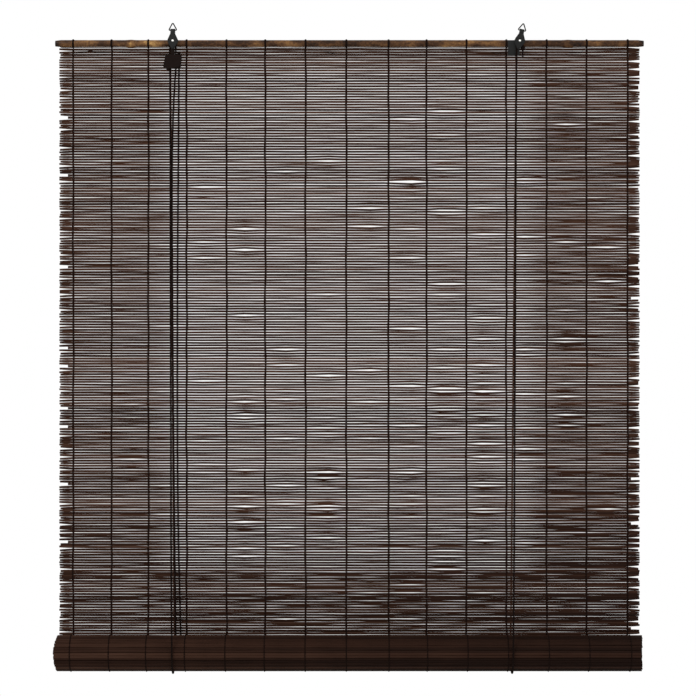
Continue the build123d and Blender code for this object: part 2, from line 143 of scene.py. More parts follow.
# %% [markdown]
# ## Camera and light
#
# The picture was taken from straight in front with a long lens, so the rail and the roll are nearly
# the same width. The world is plain white where it is seen, by the camera or in a reflection, so that
# the slits between the reeds are bright. Where it only gives light it is a soft grey.

# %% Camera
CAMERA_DISTANCE = 5.0
PICTURE_WIDTH = 1.42
camera_data = bpy.data.cameras.new("front_camera")
camera_data.sensor_width = 36.0
camera_data.lens = camera_data.sensor_width * CAMERA_DISTANCE / PICTURE_WIDTH
camera = bpy.data.objects.new("front_camera", camera_data)
camera.location = (-0.003, -CAMERA_DISTANCE, -0.661)
camera.rotation_euler = (math.radians(90), 0, 0)
bpy.context.scene.collection.objects.link(camera)
bpy.context.scene.camera = camera
print("camera lens", round(camera_data.lens, 1), "mm")

# %% World, lamps and floor
scene = bpy.context.scene
scene.view_settings.view_transform = "Standard"
world = bpy.data.worlds.new("white_studio")
scene.world = world
world.use_nodes = True
tree = world.node_tree
tree.nodes.clear()
path = add_node(tree, "ShaderNodeLightPath")
sight = add_node(
    tree,
    "ShaderNodeMath",
    {"operation": "MAXIMUM"},
    links={0: path.outputs["Is Camera Ray"], 1: path.outputs["Is Glossy Ray"]},
)
seen = add_node(
    tree,
    "ShaderNodeMath",
    {"operation": "MAXIMUM"},
    links={0: sight.outputs[0], 1: path.outputs["Is Transmission Ray"]},
)
fill = add_node(tree, "ShaderNodeBackground", inputs={"Color": (1, 1, 1, 1), "Strength": 0.55})
plain = add_node(tree, "ShaderNodeBackground", inputs={"Color": (1, 1, 1, 1), "Strength": 1.0})
blend = add_node(
    tree, "ShaderNodeMixShader", links={0: seen.outputs[0], 1: fill.outputs[0], 2: plain.outputs[0]}
)
add_node(tree, "ShaderNodeOutputWorld", links={"Surface": blend.outputs[0]})


def add_lamp(name, location, target, size, power):
    data = bpy.data.lights.new(name, "AREA")
    data.shape = "DISK"
    data.size = size
    data.energy = power
    lamp = bpy.data.objects.new(name, data)
    lamp.location = location
    lamp.rotation_euler = (Vector(target) - Vector(location)).to_track_quat("-Z", "Y").to_euler()
    scene.collection.objects.link(lamp)


add_lamp("key_lamp", (-2.2, -3.4, 1.6), (0, 0, -0.6), 2.2, 70)
add_lamp("side_lamp", (2.6, -3.0, 0.2), (0, 0, -0.7), 2.0, 25)

FLOOR_Z = -1.75
deselect_all()
bpy.ops.mesh.primitive_plane_add(size=4.4, location=(0, 0, FLOOR_Z))
floor = bpy.context.object
floor.name = "studio_floor"
activate(floor)
bpy.ops.object.transform_apply(location=True)
floor_finish, tree, shader = new_material("pale_studio_floor")
shader.inputs["Base Color"].default_value = linear("#EDEDEB")
shader.inputs["Roughness"].default_value = 0.8
paint(floor, floor_finish)
floor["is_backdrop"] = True
print("floor at", FLOOR_Z, "m")

# %% [markdown]
# ## Sizes from the solids
#
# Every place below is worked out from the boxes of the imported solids, or repeats a size that the
# solids were made from, in metres.

# %% Sizes and places
RAIL_Z = -0.040
RAIL_R = 0.00725
mat_low, mat_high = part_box("reed_mat")
MAT_TOP, MAT_BOTTOM = mat_high[2], mat_low[2]
MAT_HALF = mat_high[0]
STICKS = 230
PITCH = (MAT_TOP - MAT_BOTTOM) / STICKS
HALF_STICK = mat_high[1]
thread_faces = sorted({round(v.co.x, 4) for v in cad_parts["warp_threads"].data.vertices})
WARP_X = [(left + right) / 2 for left, right in zip(thread_faces[::2], thread_faces[1::2])]
WARPS = len(WARP_X)
ROLL_R = 0.0382
ROLL_Y = HALF_STICK - ROLL_R
ROLL_Z = MAT_BOTTOM - 0.0003
ROLL_TURNS = 8.5
WALL = 2 * HALF_STICK
CORE_R = 0.0076
TURN_PITCH = (ROLL_R - WALL - CORE_R) / ROLL_TURNS
CORD_R = 0.002
dice = random.Random(7)
print("reed spacing", round(PITCH / MM, 2), "mm,", WARPS, "threads")


def squash_up(piece):
    """Gives a hanging piece a mesh of its own."""
    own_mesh(piece)


# %% [markdown]
# ## Reed and thread finishes
#
# The reeds are split bamboo, stained dark chocolate and left without varnish. Fine fibres run along
# each one, so the grain is noise that is stretched far along X. Each reed has its own tone, stored
# with the mesh as an attribute called tone, because stain never takes evenly. The threads are matt
# cotton, nearly black, with a fine noise for their twist that is drawn coarse enough to show.

# %% Stained reed
reed, tree, shader = new_material("stained_split_bamboo")
place = add_node(tree, "ShaderNodeTexCoord")
tone = add_node(tree, "ShaderNodeAttribute", {"attribute_name": "tone"})
FIBRE_MM = 0.7
stretch = add_node(
    tree,
    "ShaderNodeMapping",
    inputs={"Scale": (0.02 / (FIBRE_MM * MM), 1 / (FIBRE_MM * MM), 1 / (FIBRE_MM * MM))},
    links={"Vector": place.outputs["Object"]},
)
fibre = add_node(
    tree, "ShaderNodeTexNoise", inputs={"Scale": 1.0, "Detail": 3.0}, links={"Vector": stretch.outputs[0]}
)
STAIN_MM = 60
stain = add_node(
    tree,
    "ShaderNodeTexNoise",
    inputs={"Scale": 1 / (STAIN_MM * MM), "Detail": 2.0},
    links={"Vector": place.outputs["Object"]},
)
mixed = add_node(
    tree,
    "ShaderNodeMath",
    {"operation": "MULTIPLY_ADD"},
    inputs={1: 0.35},
    links={0: fibre.outputs["Fac"], 2: tone.outputs["Fac"]},
)
mottled = add_node(
    tree,
    "ShaderNodeMath",
    {"operation": "MULTIPLY_ADD"},
    inputs={1: 0.25},
    links={0: stain.outputs["Fac"], 2: mixed.outputs[0]},
)
stops = [(0.2, "#1B0F0A"), (0.5, "#2F1D15"), (0.75, "#3F2A20"), (1.0, "#5A4034")]
ramp = add_node(tree, "ShaderNodeValToRGB", links={"Fac": mottled.outputs[0]})
set_stops(ramp, stops)
tree.links.new(ramp.outputs["Color"], shader.inputs["Base Color"])
bump = add_node(
    tree,
    "ShaderNodeBump",
    inputs={"Strength": 0.35, "Distance": 0.0003},
    links={"Height": fibre.outputs["Fac"]},
)
tree.links.new(bump.outputs["Normal"], shader.inputs["Normal"])
shader.inputs["Roughness"].default_value = 0.65
shader.inputs["Specular IOR Level"].default_value = 0.05
print("finish", reed.name)

# %% Twined thread
thread, tree, shader = new_material("twined_cotton_thread")
place = add_node(tree, "ShaderNodeTexCoord")
TWIST_MM = 1.1
ply = add_node(
    tree,
    "ShaderNodeTexNoise",
    inputs={"Scale": 1 / (TWIST_MM * MM), "Detail": 1.0},
    links={"Vector": place.outputs["Object"]},
)
stops = [(0.3, "#0E0705"), (0.6, "#1A0F0B"), (0.8, "#281A13")]
ramp = add_node(tree, "ShaderNodeValToRGB", links={"Fac": ply.outputs["Fac"]})
set_stops(ramp, stops)
tree.links.new(ramp.outputs["Color"], shader.inputs["Base Color"])
bump = add_node(
    tree,
    "ShaderNodeBump",
    inputs={"Strength": 0.5, "Distance": 0.0003},
    links={"Height": ply.outputs["Fac"]},
)
tree.links.new(bump.outputs["Normal"], shader.inputs["Normal"])
shader.inputs["Roughness"].default_value = 0.85
shader.inputs["Specular IOR Level"].default_value = 0.05
print("finish", thread.name)

# %% [markdown]
# ## The reeds
#
# A reed is a thin strip that was split off a cane: never quite straight, never quite of one width, and
# cut to length by hand. One eight-sided rod is cut across into short lengths, repeated up the mat with an
# Array, and then every copy is given its own width, bow and ends. The threads hold the reeds at one
# spacing. Between the threads they bow, which opens bright slits, and past the last thread the free ends
# lean together in bunches with notches between them. Now and then an end is missing. One more reed, a thin
# one, lies close under the rail.


# %% Rods to make reeds from
ROD_STEP = 10.0


def cut_rod(name, length, sides, cuts):
    """A rod of radius 1 along X, cut across into short lengths."""
    deselect_all()
    bpy.ops.mesh.primitive_cylinder_add(
        vertices=sides, radius=1.0, depth=length, end_fill_type="NGON", rotation=(0, math.radians(90), 0)
    )
    rod = bpy.context.object
    rod.name = name
    bpy.ops.object.transform_apply(rotation=True)
    bpy.ops.object.mode_set(mode="EDIT")
    bpy.ops.mesh.select_all(action="DESELECT")
    mesh = bmesh.from_edit_mesh(rod.data)
    for edge in mesh.edges:
        edge.select = abs(edge.verts[0].co.x - edge.verts[1].co.x) > length / 2
    bmesh.update_edit_mesh(rod.data)
    if cuts:
        bpy.ops.mesh.subdivide(number_cuts=cuts)
    bpy.ops.object.mode_set(mode="OBJECT")
    return rod


def reed_rods(name, count, length, sides, cuts):
    """A stack of rods along X, one above the other, ready to be shaped."""
    rods = cut_rod(name, length, sides, cuts)
    stack = rods.modifiers.new("stack", "ARRAY")
    stack.count = count
    stack.use_relative_offset = False
    stack.use_constant_offset = True
    stack.constant_offset_displace = (0, 0, ROD_STEP)
    bpy.ops.object.modifier_apply(modifier=stack.name)
    return rods


def read_points(piece):
    points = np.empty(len(piece.data.vertices) * 3)
    piece.data.vertices.foreach_get("co", points)
    return points.reshape(-1, 3)


def write_points(piece, points):
    piece.data.vertices.foreach_set("co", points.ravel())
    piece.data.update()


def store_tone(piece, values):
    layer = piece.data.attributes.new("tone", "FLOAT", "POINT")
    layer.data.foreach_set("value", values)


def bow(x, seed, reach):
    """A slow wander along a reed, from four waves of odd lengths."""
    chance = random.Random(seed)
    total = np.zeros_like(x)
    for wave in (0.71, 0.33, 0.17, 0.095):
        total += chance.uniform(0.4, 1.0) * np.sin(2 * math.pi * (x / wave + chance.random()))
    return reach * total / 2.0


# %% Slits and bunches
SLITS = 165
SLIT_SPREAD = (0.8, 0.55, 0.3, 0.15)
SLIT_BAY, SLIT_HEIGHT = 10.0, 0.36
SLIT_LOWEST, SLIT_HIGHEST = 0.02, 0.96
SLIT_OPENS = (0.0004, 0.0016)
NARROW_SHARE, NARROW_BELOW = 0.55, 0.25


def slit_table():
    """For each reed, its slits: (left thread, right thread, how far the reed is pushed)."""
    table = {}
    for _ in range(SLITS):
        bay = min(WARPS - 2, int(dice.triangular(0, WARPS - 1, SLIT_BAY)))
        height = dice.triangular(SLIT_LOWEST, SLIT_HIGHEST, SLIT_HEIGHT)
        row = int(STICKS * height)
        widening = min(1.0, height / NARROW_BELOW)
        opened = dice.uniform(*SLIT_OPENS) * (NARROW_SHARE + (1 - NARROW_SHARE) * widening)
        for step, spread in enumerate(SLIT_SPREAD):
            for reed_row, way in ((row + step, 1), (row - 1 - step, -1)):
                table.setdefault(reed_row, []).append((WARP_X[bay], WARP_X[bay + 1], way * spread * opened))
    return table


def bunch_shifts(sizes, mouths):
    """How far each reed's free end moves, so that ends lean together with a notch between two bunches."""
    shifts = []
    while len(shifts) <= STICKS:
        size = dice.randint(*sizes)
        mouth = dice.uniform(*mouths)
        shifts += [(0.5 - (k + 0.5) / size) * mouth for k in range(size)]
    return shifts


# %% Shaped reeds
GAP_SHARE, MIDDLE_GAP_SHARE = 0.112, 0.185
RIGHT_CLOSER, ROLL_CLOSER, CORNER_CLOSER = 0.02, 0.055, 0.02
MIDDLE_HALF, MIDDLE_LOW, MIDDLE_HIGH, FADE = 0.395, -1.13, -0.075, 0.025
TIGHT_BELOW, TIGHT_FADE = 0.02, 0.42
HEAD_CLEAR = 0.0002
HEAD_TOP = RAIL_Z - RAIL_R - HEAD_CLEAR
FREE_END = MAT_HALF - WARP_X[-1]
END_STUB = 0.007
END_TRIMS = (0.0, 0.0, 0.0003, 0.0007, 0.0013, 0.0025) * 7 + (FREE_END - END_STUB,)
END_CUTS = np.array((0.0, 0.008, 0.017, 0.027))
RINGS, FIRST_INNER_CUT = 48, 0.036
REED_HEIGHTS, HEIGHT_WAVER, REED_DEPTHS = (0.95, 1.05), 0.05, (0.00085, 0.0011)
REED_BOW, REED_SWAY = 0.0003, 0.00004
BOW_SEED, HEIGHT_SEED, SWAY_SEED = 1000, 3000, 5000
END_BEND, END_SPREAD, END_TAPER, TAPER_LENGTH = 0.8, 0.09, 0.3, 0.012
REED_TONES, ROLL_DARKER, CORNER_DARKER = (0.12, 0.58), 0.06, 0.16
inner_cuts = np.linspace(
    FIRST_INNER_CUT - MAT_HALF, MAT_HALF - FIRST_INNER_CUT, RINGS - 2 * len(END_CUTS)
)
ring_x = np.r_[-MAT_HALF + END_CUTS, inner_cuts, MAT_HALF - END_CUTS[::-1]]


def eased(value):
    """A step from 0 to 1 with soft ends."""
    value = np.clip(value, 0, 1)
    return value * value * (3 - 2 * value)


slits = slit_table()
left_bunch = bunch_shifts((1, 8), (0.0012, 0.0044))
right_bunch = bunch_shifts((1, 7), (0.002, 0.0056))
mat = reed_rods("reeds", STICKS + 1, 2 * MAT_HALF, 8, RINGS - 2)
points = read_points(mat)
row = np.rint(points[:, 2] / ROD_STEP).astype(int)
across = points[:, 2] - row * ROD_STEP
depth = points[:, 1].copy()
along = ring_x[np.rint((points[:, 0] / (2 * MAT_HALF) + 0.5) * (RINGS - 1)).astype(int)]
tones = np.zeros(len(points))
for i in range(STICKS + 1):
    of_reed = row == i
    x = along[of_reed]
    left, right = (dice.choice(END_TRIMS) for _ in range(2))
    share = (x + MAT_HALF) / (2 * MAT_HALF)
    x = -MAT_HALF + left + share * (2 * MAT_HALF - left - right)
    middle_z = MAT_BOTTOM + (i + 0.5) * PITCH if i < STICKS else (MAT_TOP + HEAD_TOP) / 2
    inside = min(middle_z - MIDDLE_LOW, MIDDLE_HIGH - middle_z)
    open_here = eased((MIDDLE_HALF - np.abs(x)) / FADE) * float(eased(inside / FADE))
    height = (middle_z - MAT_BOTTOM) / (MAT_TOP - MAT_BOTTOM)
    tight = 1 - float(eased((height - TIGHT_BELOW) / TIGHT_FADE))
    rightward = (x + MAT_HALF) / (2 * MAT_HALF)
    gap = GAP_SHARE - RIGHT_CLOSER * rightward - (ROLL_CLOSER + CORNER_CLOSER * rightward) * tight
    gap = gap + (MIDDLE_GAP_SHARE - GAP_SHARE) * open_here
    waver = 1 + HEIGHT_WAVER * bow(x, HEIGHT_SEED + i, 1.0)
    half_height = PITCH / 2 * (1 - gap) * dice.uniform(*REED_HEIGHTS) * waver
    free = np.clip((np.abs(x) - WARP_X[-1]) / FREE_END, 0, 1) ** END_BEND
    half_height = half_height * (1 + END_SPREAD * free)
    if i == STICKS:
        half_height = half_height * (HEAD_TOP - MAT_TOP) / PITCH
    half_depth = dice.uniform(*REED_DEPTHS)
    centre = middle_z + bow(x, BOW_SEED + i, REED_BOW)
    for from_x, to_x, push in slits.get(i, ()):
        centre = centre + push * np.sin(math.pi * np.clip((x - from_x) / (to_x - from_x), 0, 1)) ** 2
    centre = centre + free * np.where(x < 0, left_bunch[i], right_bunch[i])
    taper = 1 - END_TAPER * np.clip(1 - (MAT_HALF - np.abs(x)) / TAPER_LENGTH, 0, 1)
    points[of_reed, 0] = x
    points[of_reed, 1] = depth[of_reed] * half_depth + bow(x, SWAY_SEED + i, REED_SWAY)
    points[of_reed, 2] = np.clip(centre + across[of_reed] * half_height * taper, MAT_BOTTOM, HEAD_TOP)
    tones[of_reed] = dice.uniform(*REED_TONES) - tight * (ROLL_DARKER + CORNER_DARKER * rightward)
write_points(mat, points)
store_tone(mat, tones)
paint(mat, reed)
smooth(mat, 50)
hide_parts("reed_mat")
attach(mat, "frame")
squash_up(mat)
print("reeds", STICKS + 1, "triangles", sum(len(f.vertices) - 2 for f in mat.data.polygons))

# %% [markdown]
# ## The twined threads
#
# At each warp two threads are twisted about each other, and every half twist holds one reed: one
# thread passes in front while the other passes behind. Over the rail they make a flat double band. A
# curve with a round bevel draws each thread, and becomes a mesh.
# Here and there a loose tail of thread, cut off by hand, lies on the first reeds.


# %% Threads as bevelled lines
def thread_lines(name, lines, radius, sides):
    """One mesh of round threads that follow the lines of points."""
    curve = bpy.data.curves.new(name, "CURVE")
    curve.dimensions = "3D"
    curve.bevel_depth = radius
    curve.bevel_resolution = max(0, sides // 2 - 2)
    curve.use_fill_caps = True
    for line in lines:
        spline = curve.splines.new("POLY")
        spline.points.add(len(line) - 1)
        for point, place_at in zip(spline.points, line):
            point.co = (*place_at, 1.0)
    piece = bpy.data.objects.new(name, curve)
    scene.collection.objects.link(piece)
    activate(piece)
    bpy.ops.object.convert(target="MESH")
    piece = bpy.context.object
    piece.name = name
    return piece


THREAD_R = 0.0013
THREAD_SIDEWAYS, THREAD_PROUD = 0.0009, 0.0002
THREAD_LEAN, LEAN_SEED = 0.0009, 200
lines = []
for w, x in enumerate(WARP_X):
    heights = np.array([MAT_BOTTOM + (i + 0.5) * PITCH for i in range(STICKS)])
    lean = bow(heights, LEAN_SEED + w, THREAD_LEAN)
    for strand in (0, 1):
        line = []
        for i in range(STICKS):
            front = -1 if (i + strand) % 2 == 0 else 1
            middle = MAT_BOTTOM + (i + 0.5) * PITCH
            line.append((x + lean[i] + front * THREAD_SIDEWAYS, 0.0, middle - PITCH / 2))
            line.append((x + lean[i], front * (HALF_STICK + THREAD_PROUD), middle))
        line.append((x + lean[-1], 0.0, MAT_TOP - 0.0001))
        lines.append(line)
warp = thread_lines("warp_twine", lines, THREAD_R, 4)
paint(warp, thread)
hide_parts("warp_threads")
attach(warp, "frame")
squash_up(warp)

# %% Bands over the rail
BAND_R, BAND_APART = RAIL_R + 0.0005, 0.0007
BAND_FROM, BAND_SWEEP, BAND_STEPS = -75, 330, 20
lines = []
for x in WARP_X:
    for shift in (-BAND_APART, BAND_APART):
        line = [(x, 0.0, MAT_TOP)]
        for k in range(BAND_STEPS + 1):
            angle = math.radians(BAND_FROM - BAND_SWEEP * k / BAND_STEPS)
            line.append((x + shift, BAND_R * math.cos(angle), RAIL_Z + BAND_R * math.sin(angle)))
        line.append((x, 0.0, MAT_TOP))
        lines.append(line)
bands = thread_lines("warp_bands", lines, THREAD_R, 6)
paint(bands, thread)
smooth(bands, 60)
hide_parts("warp_threads")
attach(bands, "frame")
print("threads", WARPS * 2)

# %% Loose thread tails
TAILS = (
    (-0.561, -0.490, -0.0585),
    (-0.470, -0.447, -0.0570),
    (-0.052, -0.030, -0.0580),
    (0.290, 0.318, -0.0590),
    (0.448, 0.476, -0.0575),
)
TAIL_R, TAIL_POINTS = 0.0008, 28
TAIL_CURL, TAIL_DROOP, TAIL_SEED = 4, 0.0022, 900
lines = []
for k, (from_x, to_x, z) in enumerate(TAILS):
    x = np.linspace(from_x, to_x, TAIL_POINTS)
    droop = bow(x * TAIL_CURL, TAIL_SEED + k, TAIL_DROOP)
    lines.append([(a, -HALF_STICK - TAIL_R, z + b) for a, b in zip(x, droop)])
tails = thread_lines("thread_tails", lines, TAIL_R, 6)
paint(tails, thread)
smooth(tails, 60)
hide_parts("warp_threads")
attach(tails, "frame")
print("thread tails", len(TAILS))

# %% [markdown]
# ## The roll
#
# The roll is the same mat wound on a bottom cane. Its reeds lie along a spiral: those of the outer turn
# are as wavy as the ones above, and the hidden ones inside only show their ends, so they stay plain.


# %% Reeds along the spiral
def spiral(turn, inset):
    """Y and Z of a point so many turns in from the outer end, which lies at the back."""
    r = ROLL_R - turn * TURN_PITCH - inset
    return ROLL_Y + r * math.cos(-2 * math.pi * turn), ROLL_Z + r * math.sin(-2 * math.pi * turn)


FIRST_TURN, LAST_GAP, OUTER_TURNS = 0.012, 0.03, 1.35
BULGE_LEFT, DRAWN_IN_RIGHT, ASKEW = 0.005, 0.003, 0.0008
ROLL_TRIMS, ROLL_HEIGHTS = (0.0, 0.0005, 0.001, 0.0015), (0.0023, 0.0028)
ROLL_TONES, RIGHT_DARKER = (-0.12, 0.36), 0.16
turns = [FIRST_TURN]
while turns[-1] < ROLL_TURNS - LAST_GAP:
    r = ROLL_R - turns[-1] * TURN_PITCH - HALF_STICK
    turns.append(turns[-1] + PITCH / (2 * math.pi * r))
outer_count = sum(1 for t in turns if t < OUTER_TURNS)


def wind(piece, places, seed, wander, half_thick):
    """Lays stacked rods along the spiral, each turned to face outwards."""
    at = read_points(piece)
    order = np.rint(at[:, 2] / ROD_STEP).astype(int)
    side = at[:, 2] - order * ROD_STEP
    deep = at[:, 1].copy()
    shades = np.zeros(len(at))
    chance = random.Random(seed)
    for i, turn in enumerate(places):
        one = order == i
        x = at[one, 0]
        trim = [chance.choice(ROLL_TRIMS) for _ in range(2)]
        share = (x + MAT_HALF) / (2 * MAT_HALF)
        angle = -2 * math.pi * turn
        toward_room = max(0.0, -math.cos(angle)) ** 2
        left = -MAT_HALF + trim[0] - BULGE_LEFT * toward_room
        right = MAT_HALF - trim[1] - DRAWN_IN_RIGHT * toward_room
        x = left + share * (right - left)
        high = chance.uniform(*ROLL_HEIGHTS)
        y, z = spiral(turn, HALF_STICK)
        out = np.array((math.cos(angle), math.sin(angle)))
        round_ = np.array((-math.sin(angle), math.cos(angle)))
        slide = side[one] * high + bow(x, seed + i, wander) + chance.uniform(-ASKEW, ASKEW) * x / MAT_HALF
        thick = deep[one] * half_thick
        at[one, 0] = x
        at[one, 1] = y + out[0] * thick + round_[0] * slide
        at[one, 2] = z + out[1] * thick + round_[1] * slide
        shades[one] = chance.uniform(*ROLL_TONES) - RIGHT_DARKER * x / MAT_HALF
    write_points(piece, at)
    store_tone(piece, shades)
    paint(piece, reed)
    smooth(piece, 50)
    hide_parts("mat_roll")
    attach(piece, "roll")


OUTER_SEED, OUTER_WANDER, OUTER_HALF_THICK = 7000, 0.0004, 0.00105
INNER_SEED, INNER_WANDER, INNER_HALF_THICK = 8000, 0.0, 0.0016
outer_reeds = reed_rods("roll_outer_reeds", outer_count, 2 * MAT_HALF, 8, 30)
wind(outer_reeds, turns[:outer_count], OUTER_SEED, OUTER_WANDER, OUTER_HALF_THICK)
inner_reeds = reed_rods("roll_inner_reeds", len(turns) - outer_count, 2 * MAT_HALF, 6, 0)
wind(inner_reeds, turns[outer_count:], INNER_SEED, INNER_WANDER, INNER_HALF_THICK)
TWINE_OUTSIDE, TWINE_INSIDE = -0.0001, WALL - 0.0004
lines = []
for x in WARP_X:
    for strand in (0, 1):
        line = []
        for i, turn in enumerate(turns[:outer_count]):
            outside = (i + strand) % 2 == 0
            line.append((x, *spiral(turn - 0.5 * PITCH / (2 * math.pi * ROLL_R), HALF_STICK)))
            line.append((x, *spiral(turn, TWINE_OUTSIDE if outside else TWINE_INSIDE)))
        lines.append(line)
roll_twine = thread_lines("roll_twine", lines, THREAD_R, 4)
paint(roll_twine, thread)
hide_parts("mat_roll")
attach(roll_twine, "roll")
print("reeds in the roll", len(turns), "of them outside", outer_count)

# %% [markdown]
# ## Cane
#
# The head rail is a whole bamboo cane under a thin golden-brown glaze: blotches of dark brown burnt into
# the skin, and a pale ring at every node. A cylinder is cut across, and its rings are made wider or
# narrower, so that the nodes swell and the cane is nowhere quite the same thickness.

# %% Glazed cane finish
cane, tree, shader = new_material("glazed_bamboo_cane")
place = add_node(tree, "ShaderNodeTexCoord")
BLOTCH_MM = 16
stretch = add_node(
    tree,
    "ShaderNodeMapping",
    inputs={"Scale": (0.45 / (BLOTCH_MM * MM), 1 / (BLOTCH_MM * MM), 1 / (BLOTCH_MM * MM))},
    links={"Vector": place.outputs["Object"]},
)
blotch = add_node(
    tree,
    "ShaderNodeTexNoise",
    inputs={"Scale": 1.0, "Detail": 5.0, "Roughness": 0.6},
    links={"Vector": stretch.outputs[0]},
)
pale = add_node(tree, "ShaderNodeAttribute", {"attribute_name": "tone"})
FLECK_MM = 3.5
fleck = add_node(
    tree,
    "ShaderNodeTexNoise",
    inputs={"Scale": 1 / (FLECK_MM * MM), "Detail": 2.0},
    links={"Vector": place.outputs["Object"]},
)
speckled = add_node(
    tree,
    "ShaderNodeMath",
    {"operation": "MULTIPLY_ADD"},
    inputs={1: 0.4},
    links={0: fleck.outputs["Fac"], 2: blotch.outputs["Fac"]},
)
lifted = add_node(
    tree, "ShaderNodeMath", {"operation": "ADD"}, links={0: pale.outputs["Fac"], 1: speckled.outputs[0]}
)
stops = [(0.25, "#180D07"), (0.42, "#3A2414"), (0.56, "#5B3E26"), (0.72, "#835E38"), (1.0, "#D8AC6A")]
ramp = add_node(tree, "ShaderNodeValToRGB", links={"Fac": lifted.outputs[0]})
set_stops(ramp, stops)
tree.links.new(ramp.outputs["Color"], shader.inputs["Base Color"])
shader.inputs["Roughness"].default_value = 0.4
shader.inputs["Specular IOR Level"].default_value = 0.14
bump = add_node(
    tree,
    "ShaderNodeBump",
    inputs={"Strength": 0.15, "Distance": 0.0004},
    links={"Height": blotch.outputs["Fac"]},
)
tree.links.new(bump.outputs["Normal"], shader.inputs["Normal"])
print("finish", cane.name)

# %% Head rail with its nodes
RAIL_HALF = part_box("head_rail")[1][0]
NODE_X = [share * 2 * RAIL_HALF for share in (-0.371, -0.108, 0.167, 0.371)]
PLAIN_TONE, NODE_LIFT, NODE_LIFT_REACH = -0.18, 0.2, 0.006
NODE_REACH, GROOVE_DEPTH, GROOVE_OFF, GROOVE_REACH = 0.0035, 0.0005, 0.0042, 0.0009
END_ROUND, END_SIZE, END_DARK, END_DARK_LENGTH = 0.0025, 0.8, 0.25, 0.012
CANE_WAVER, CANE_SEED = 0.01, 41
CORE_CANE_R, CORE_NODE_X = 0.007, [-0.31, 0.02, 0.36]
RAIL_SWELL, CORE_SWELL = 0.0008, 0.0003
RAIL_PATCHES = (
    (-0.52, 0.035, 0.06),
    (-0.4, 0.014, 0.24),
    (0.0, 0.09, -0.06),
    (0.246, 0.012, 0.16),
    (0.45, 0.08, -0.09),
)


def cane_rod(name, half_length, radius, y, z, nodes, swell, cuts, patches=()):
    """A cane along X with swollen, grooved nodes and rounded ends."""
    rod = cut_rod(name, 2 * half_length, 28, cuts)
    at = read_points(rod)
    x = at[:, 0]
    size = np.full(len(x), radius) * (1 + CANE_WAVER * bow(x, CANE_SEED, 1.0))
    shade = np.full(len(x), PLAIN_TONE)
    for node_x in nodes:
        off = x - node_x
        groove = GROOVE_DEPTH * np.exp(-(((off - GROOVE_OFF) / GROOVE_REACH) ** 2))
        size += swell * np.exp(-((off / NODE_REACH) ** 2)) - groove
        shade += NODE_LIFT * np.exp(-((off / NODE_LIFT_REACH) ** 2))
    for patch_x, reach, lift in patches:
        shade += lift * np.exp(-(((x - patch_x) / reach) ** 2))
    size = np.minimum(size, radius + swell)
    from_end = half_length - np.abs(x)
    size *= END_SIZE + (1 - END_SIZE) * np.sqrt(np.clip(from_end / END_ROUND, 0, 1))
    shade -= END_DARK * (1 - np.clip(from_end / END_DARK_LENGTH, 0, 1))
    at[:, 1] = y + at[:, 1] * size
    at[:, 2] = z + at[:, 2] * size
    write_points(rod, at)
    store_tone(rod, shade)
    paint(rod, cane)
    smooth(rod, 45)
    return rod


rail = cane_rod("cane_rail", RAIL_HALF, RAIL_R, 0.0, RAIL_Z, NODE_X, RAIL_SWELL, 600, RAIL_PATCHES)
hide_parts("head_rail")
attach(rail, "frame")
core = cane_rod("cane_core", MAT_HALF, CORE_CANE_R, ROLL_Y, ROLL_Z, CORE_NODE_X, CORE_SWELL, 200)
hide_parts("bottom_cane")
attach(core, "roll")
print("cane", round(2 * RAIL_HALF, 3), "m")

# %% [markdown]
# ## Cord
#
# The lift cord is three plies of cotton laid in a right-hand twist, four millimetres thick. Each ply is a
# round line that winds round the cord's own line, so light catches every turn of the twist. The rear runs
# are straight lines, and the turns round the sheaves, the posts and the roll are arcs. The front runs bow a
# little, to stay clear of the pulley's cheek above and of the roll below when the blind is up, and the two
# free pull cords hang on smooth splines.

# %% Cord finish
cotton, tree, shader = new_material("laid_cotton_cord")
place = add_node(tree, "ShaderNodeTexCoord")
YARN_MM = 0.9
yarn = add_node(
    tree,
    "ShaderNodeTexNoise",
    inputs={"Scale": 1 / (YARN_MM * MM), "Detail": 2.0},
    links={"Vector": place.outputs["Object"]},
)
stops = [(0.3, "#0B0605"), (0.55, "#160D0A"), (0.8, "#261912")]
ramp = add_node(tree, "ShaderNodeValToRGB", links={"Fac": yarn.outputs["Fac"]})
set_stops(ramp, stops)
tree.links.new(ramp.outputs["Color"], shader.inputs["Base Color"])
bump = add_node(
    tree,
    "ShaderNodeBump",
    inputs={"Strength": 0.4, "Distance": 0.0003},
    links={"Height": yarn.outputs["Fac"]},
)
tree.links.new(bump.outputs["Normal"], shader.inputs["Normal"])
shader.inputs["Roughness"].default_value = 0.8
shader.inputs["Specular IOR Level"].default_value = 0.06
print("finish", cotton.name)

# %% Plies round a line
LAY = 0.014
PLY_R = 0.00093
PLY_OFFSET = CORD_R - PLY_R


def dense(route, step):
    """Points at even steps along a line of points."""
    route = np.array(route, float)
    lengths = np.r_[0, np.cumsum(np.linalg.norm(np.diff(route, axis=0), axis=1))]
    count = max(2, int(round(lengths[-1] / step)) + 1)
    wanted = np.linspace(0, lengths[-1], count)
    return np.stack([np.interp(wanted, lengths, route[:, k]) for k in range(3)], axis=1), wanted


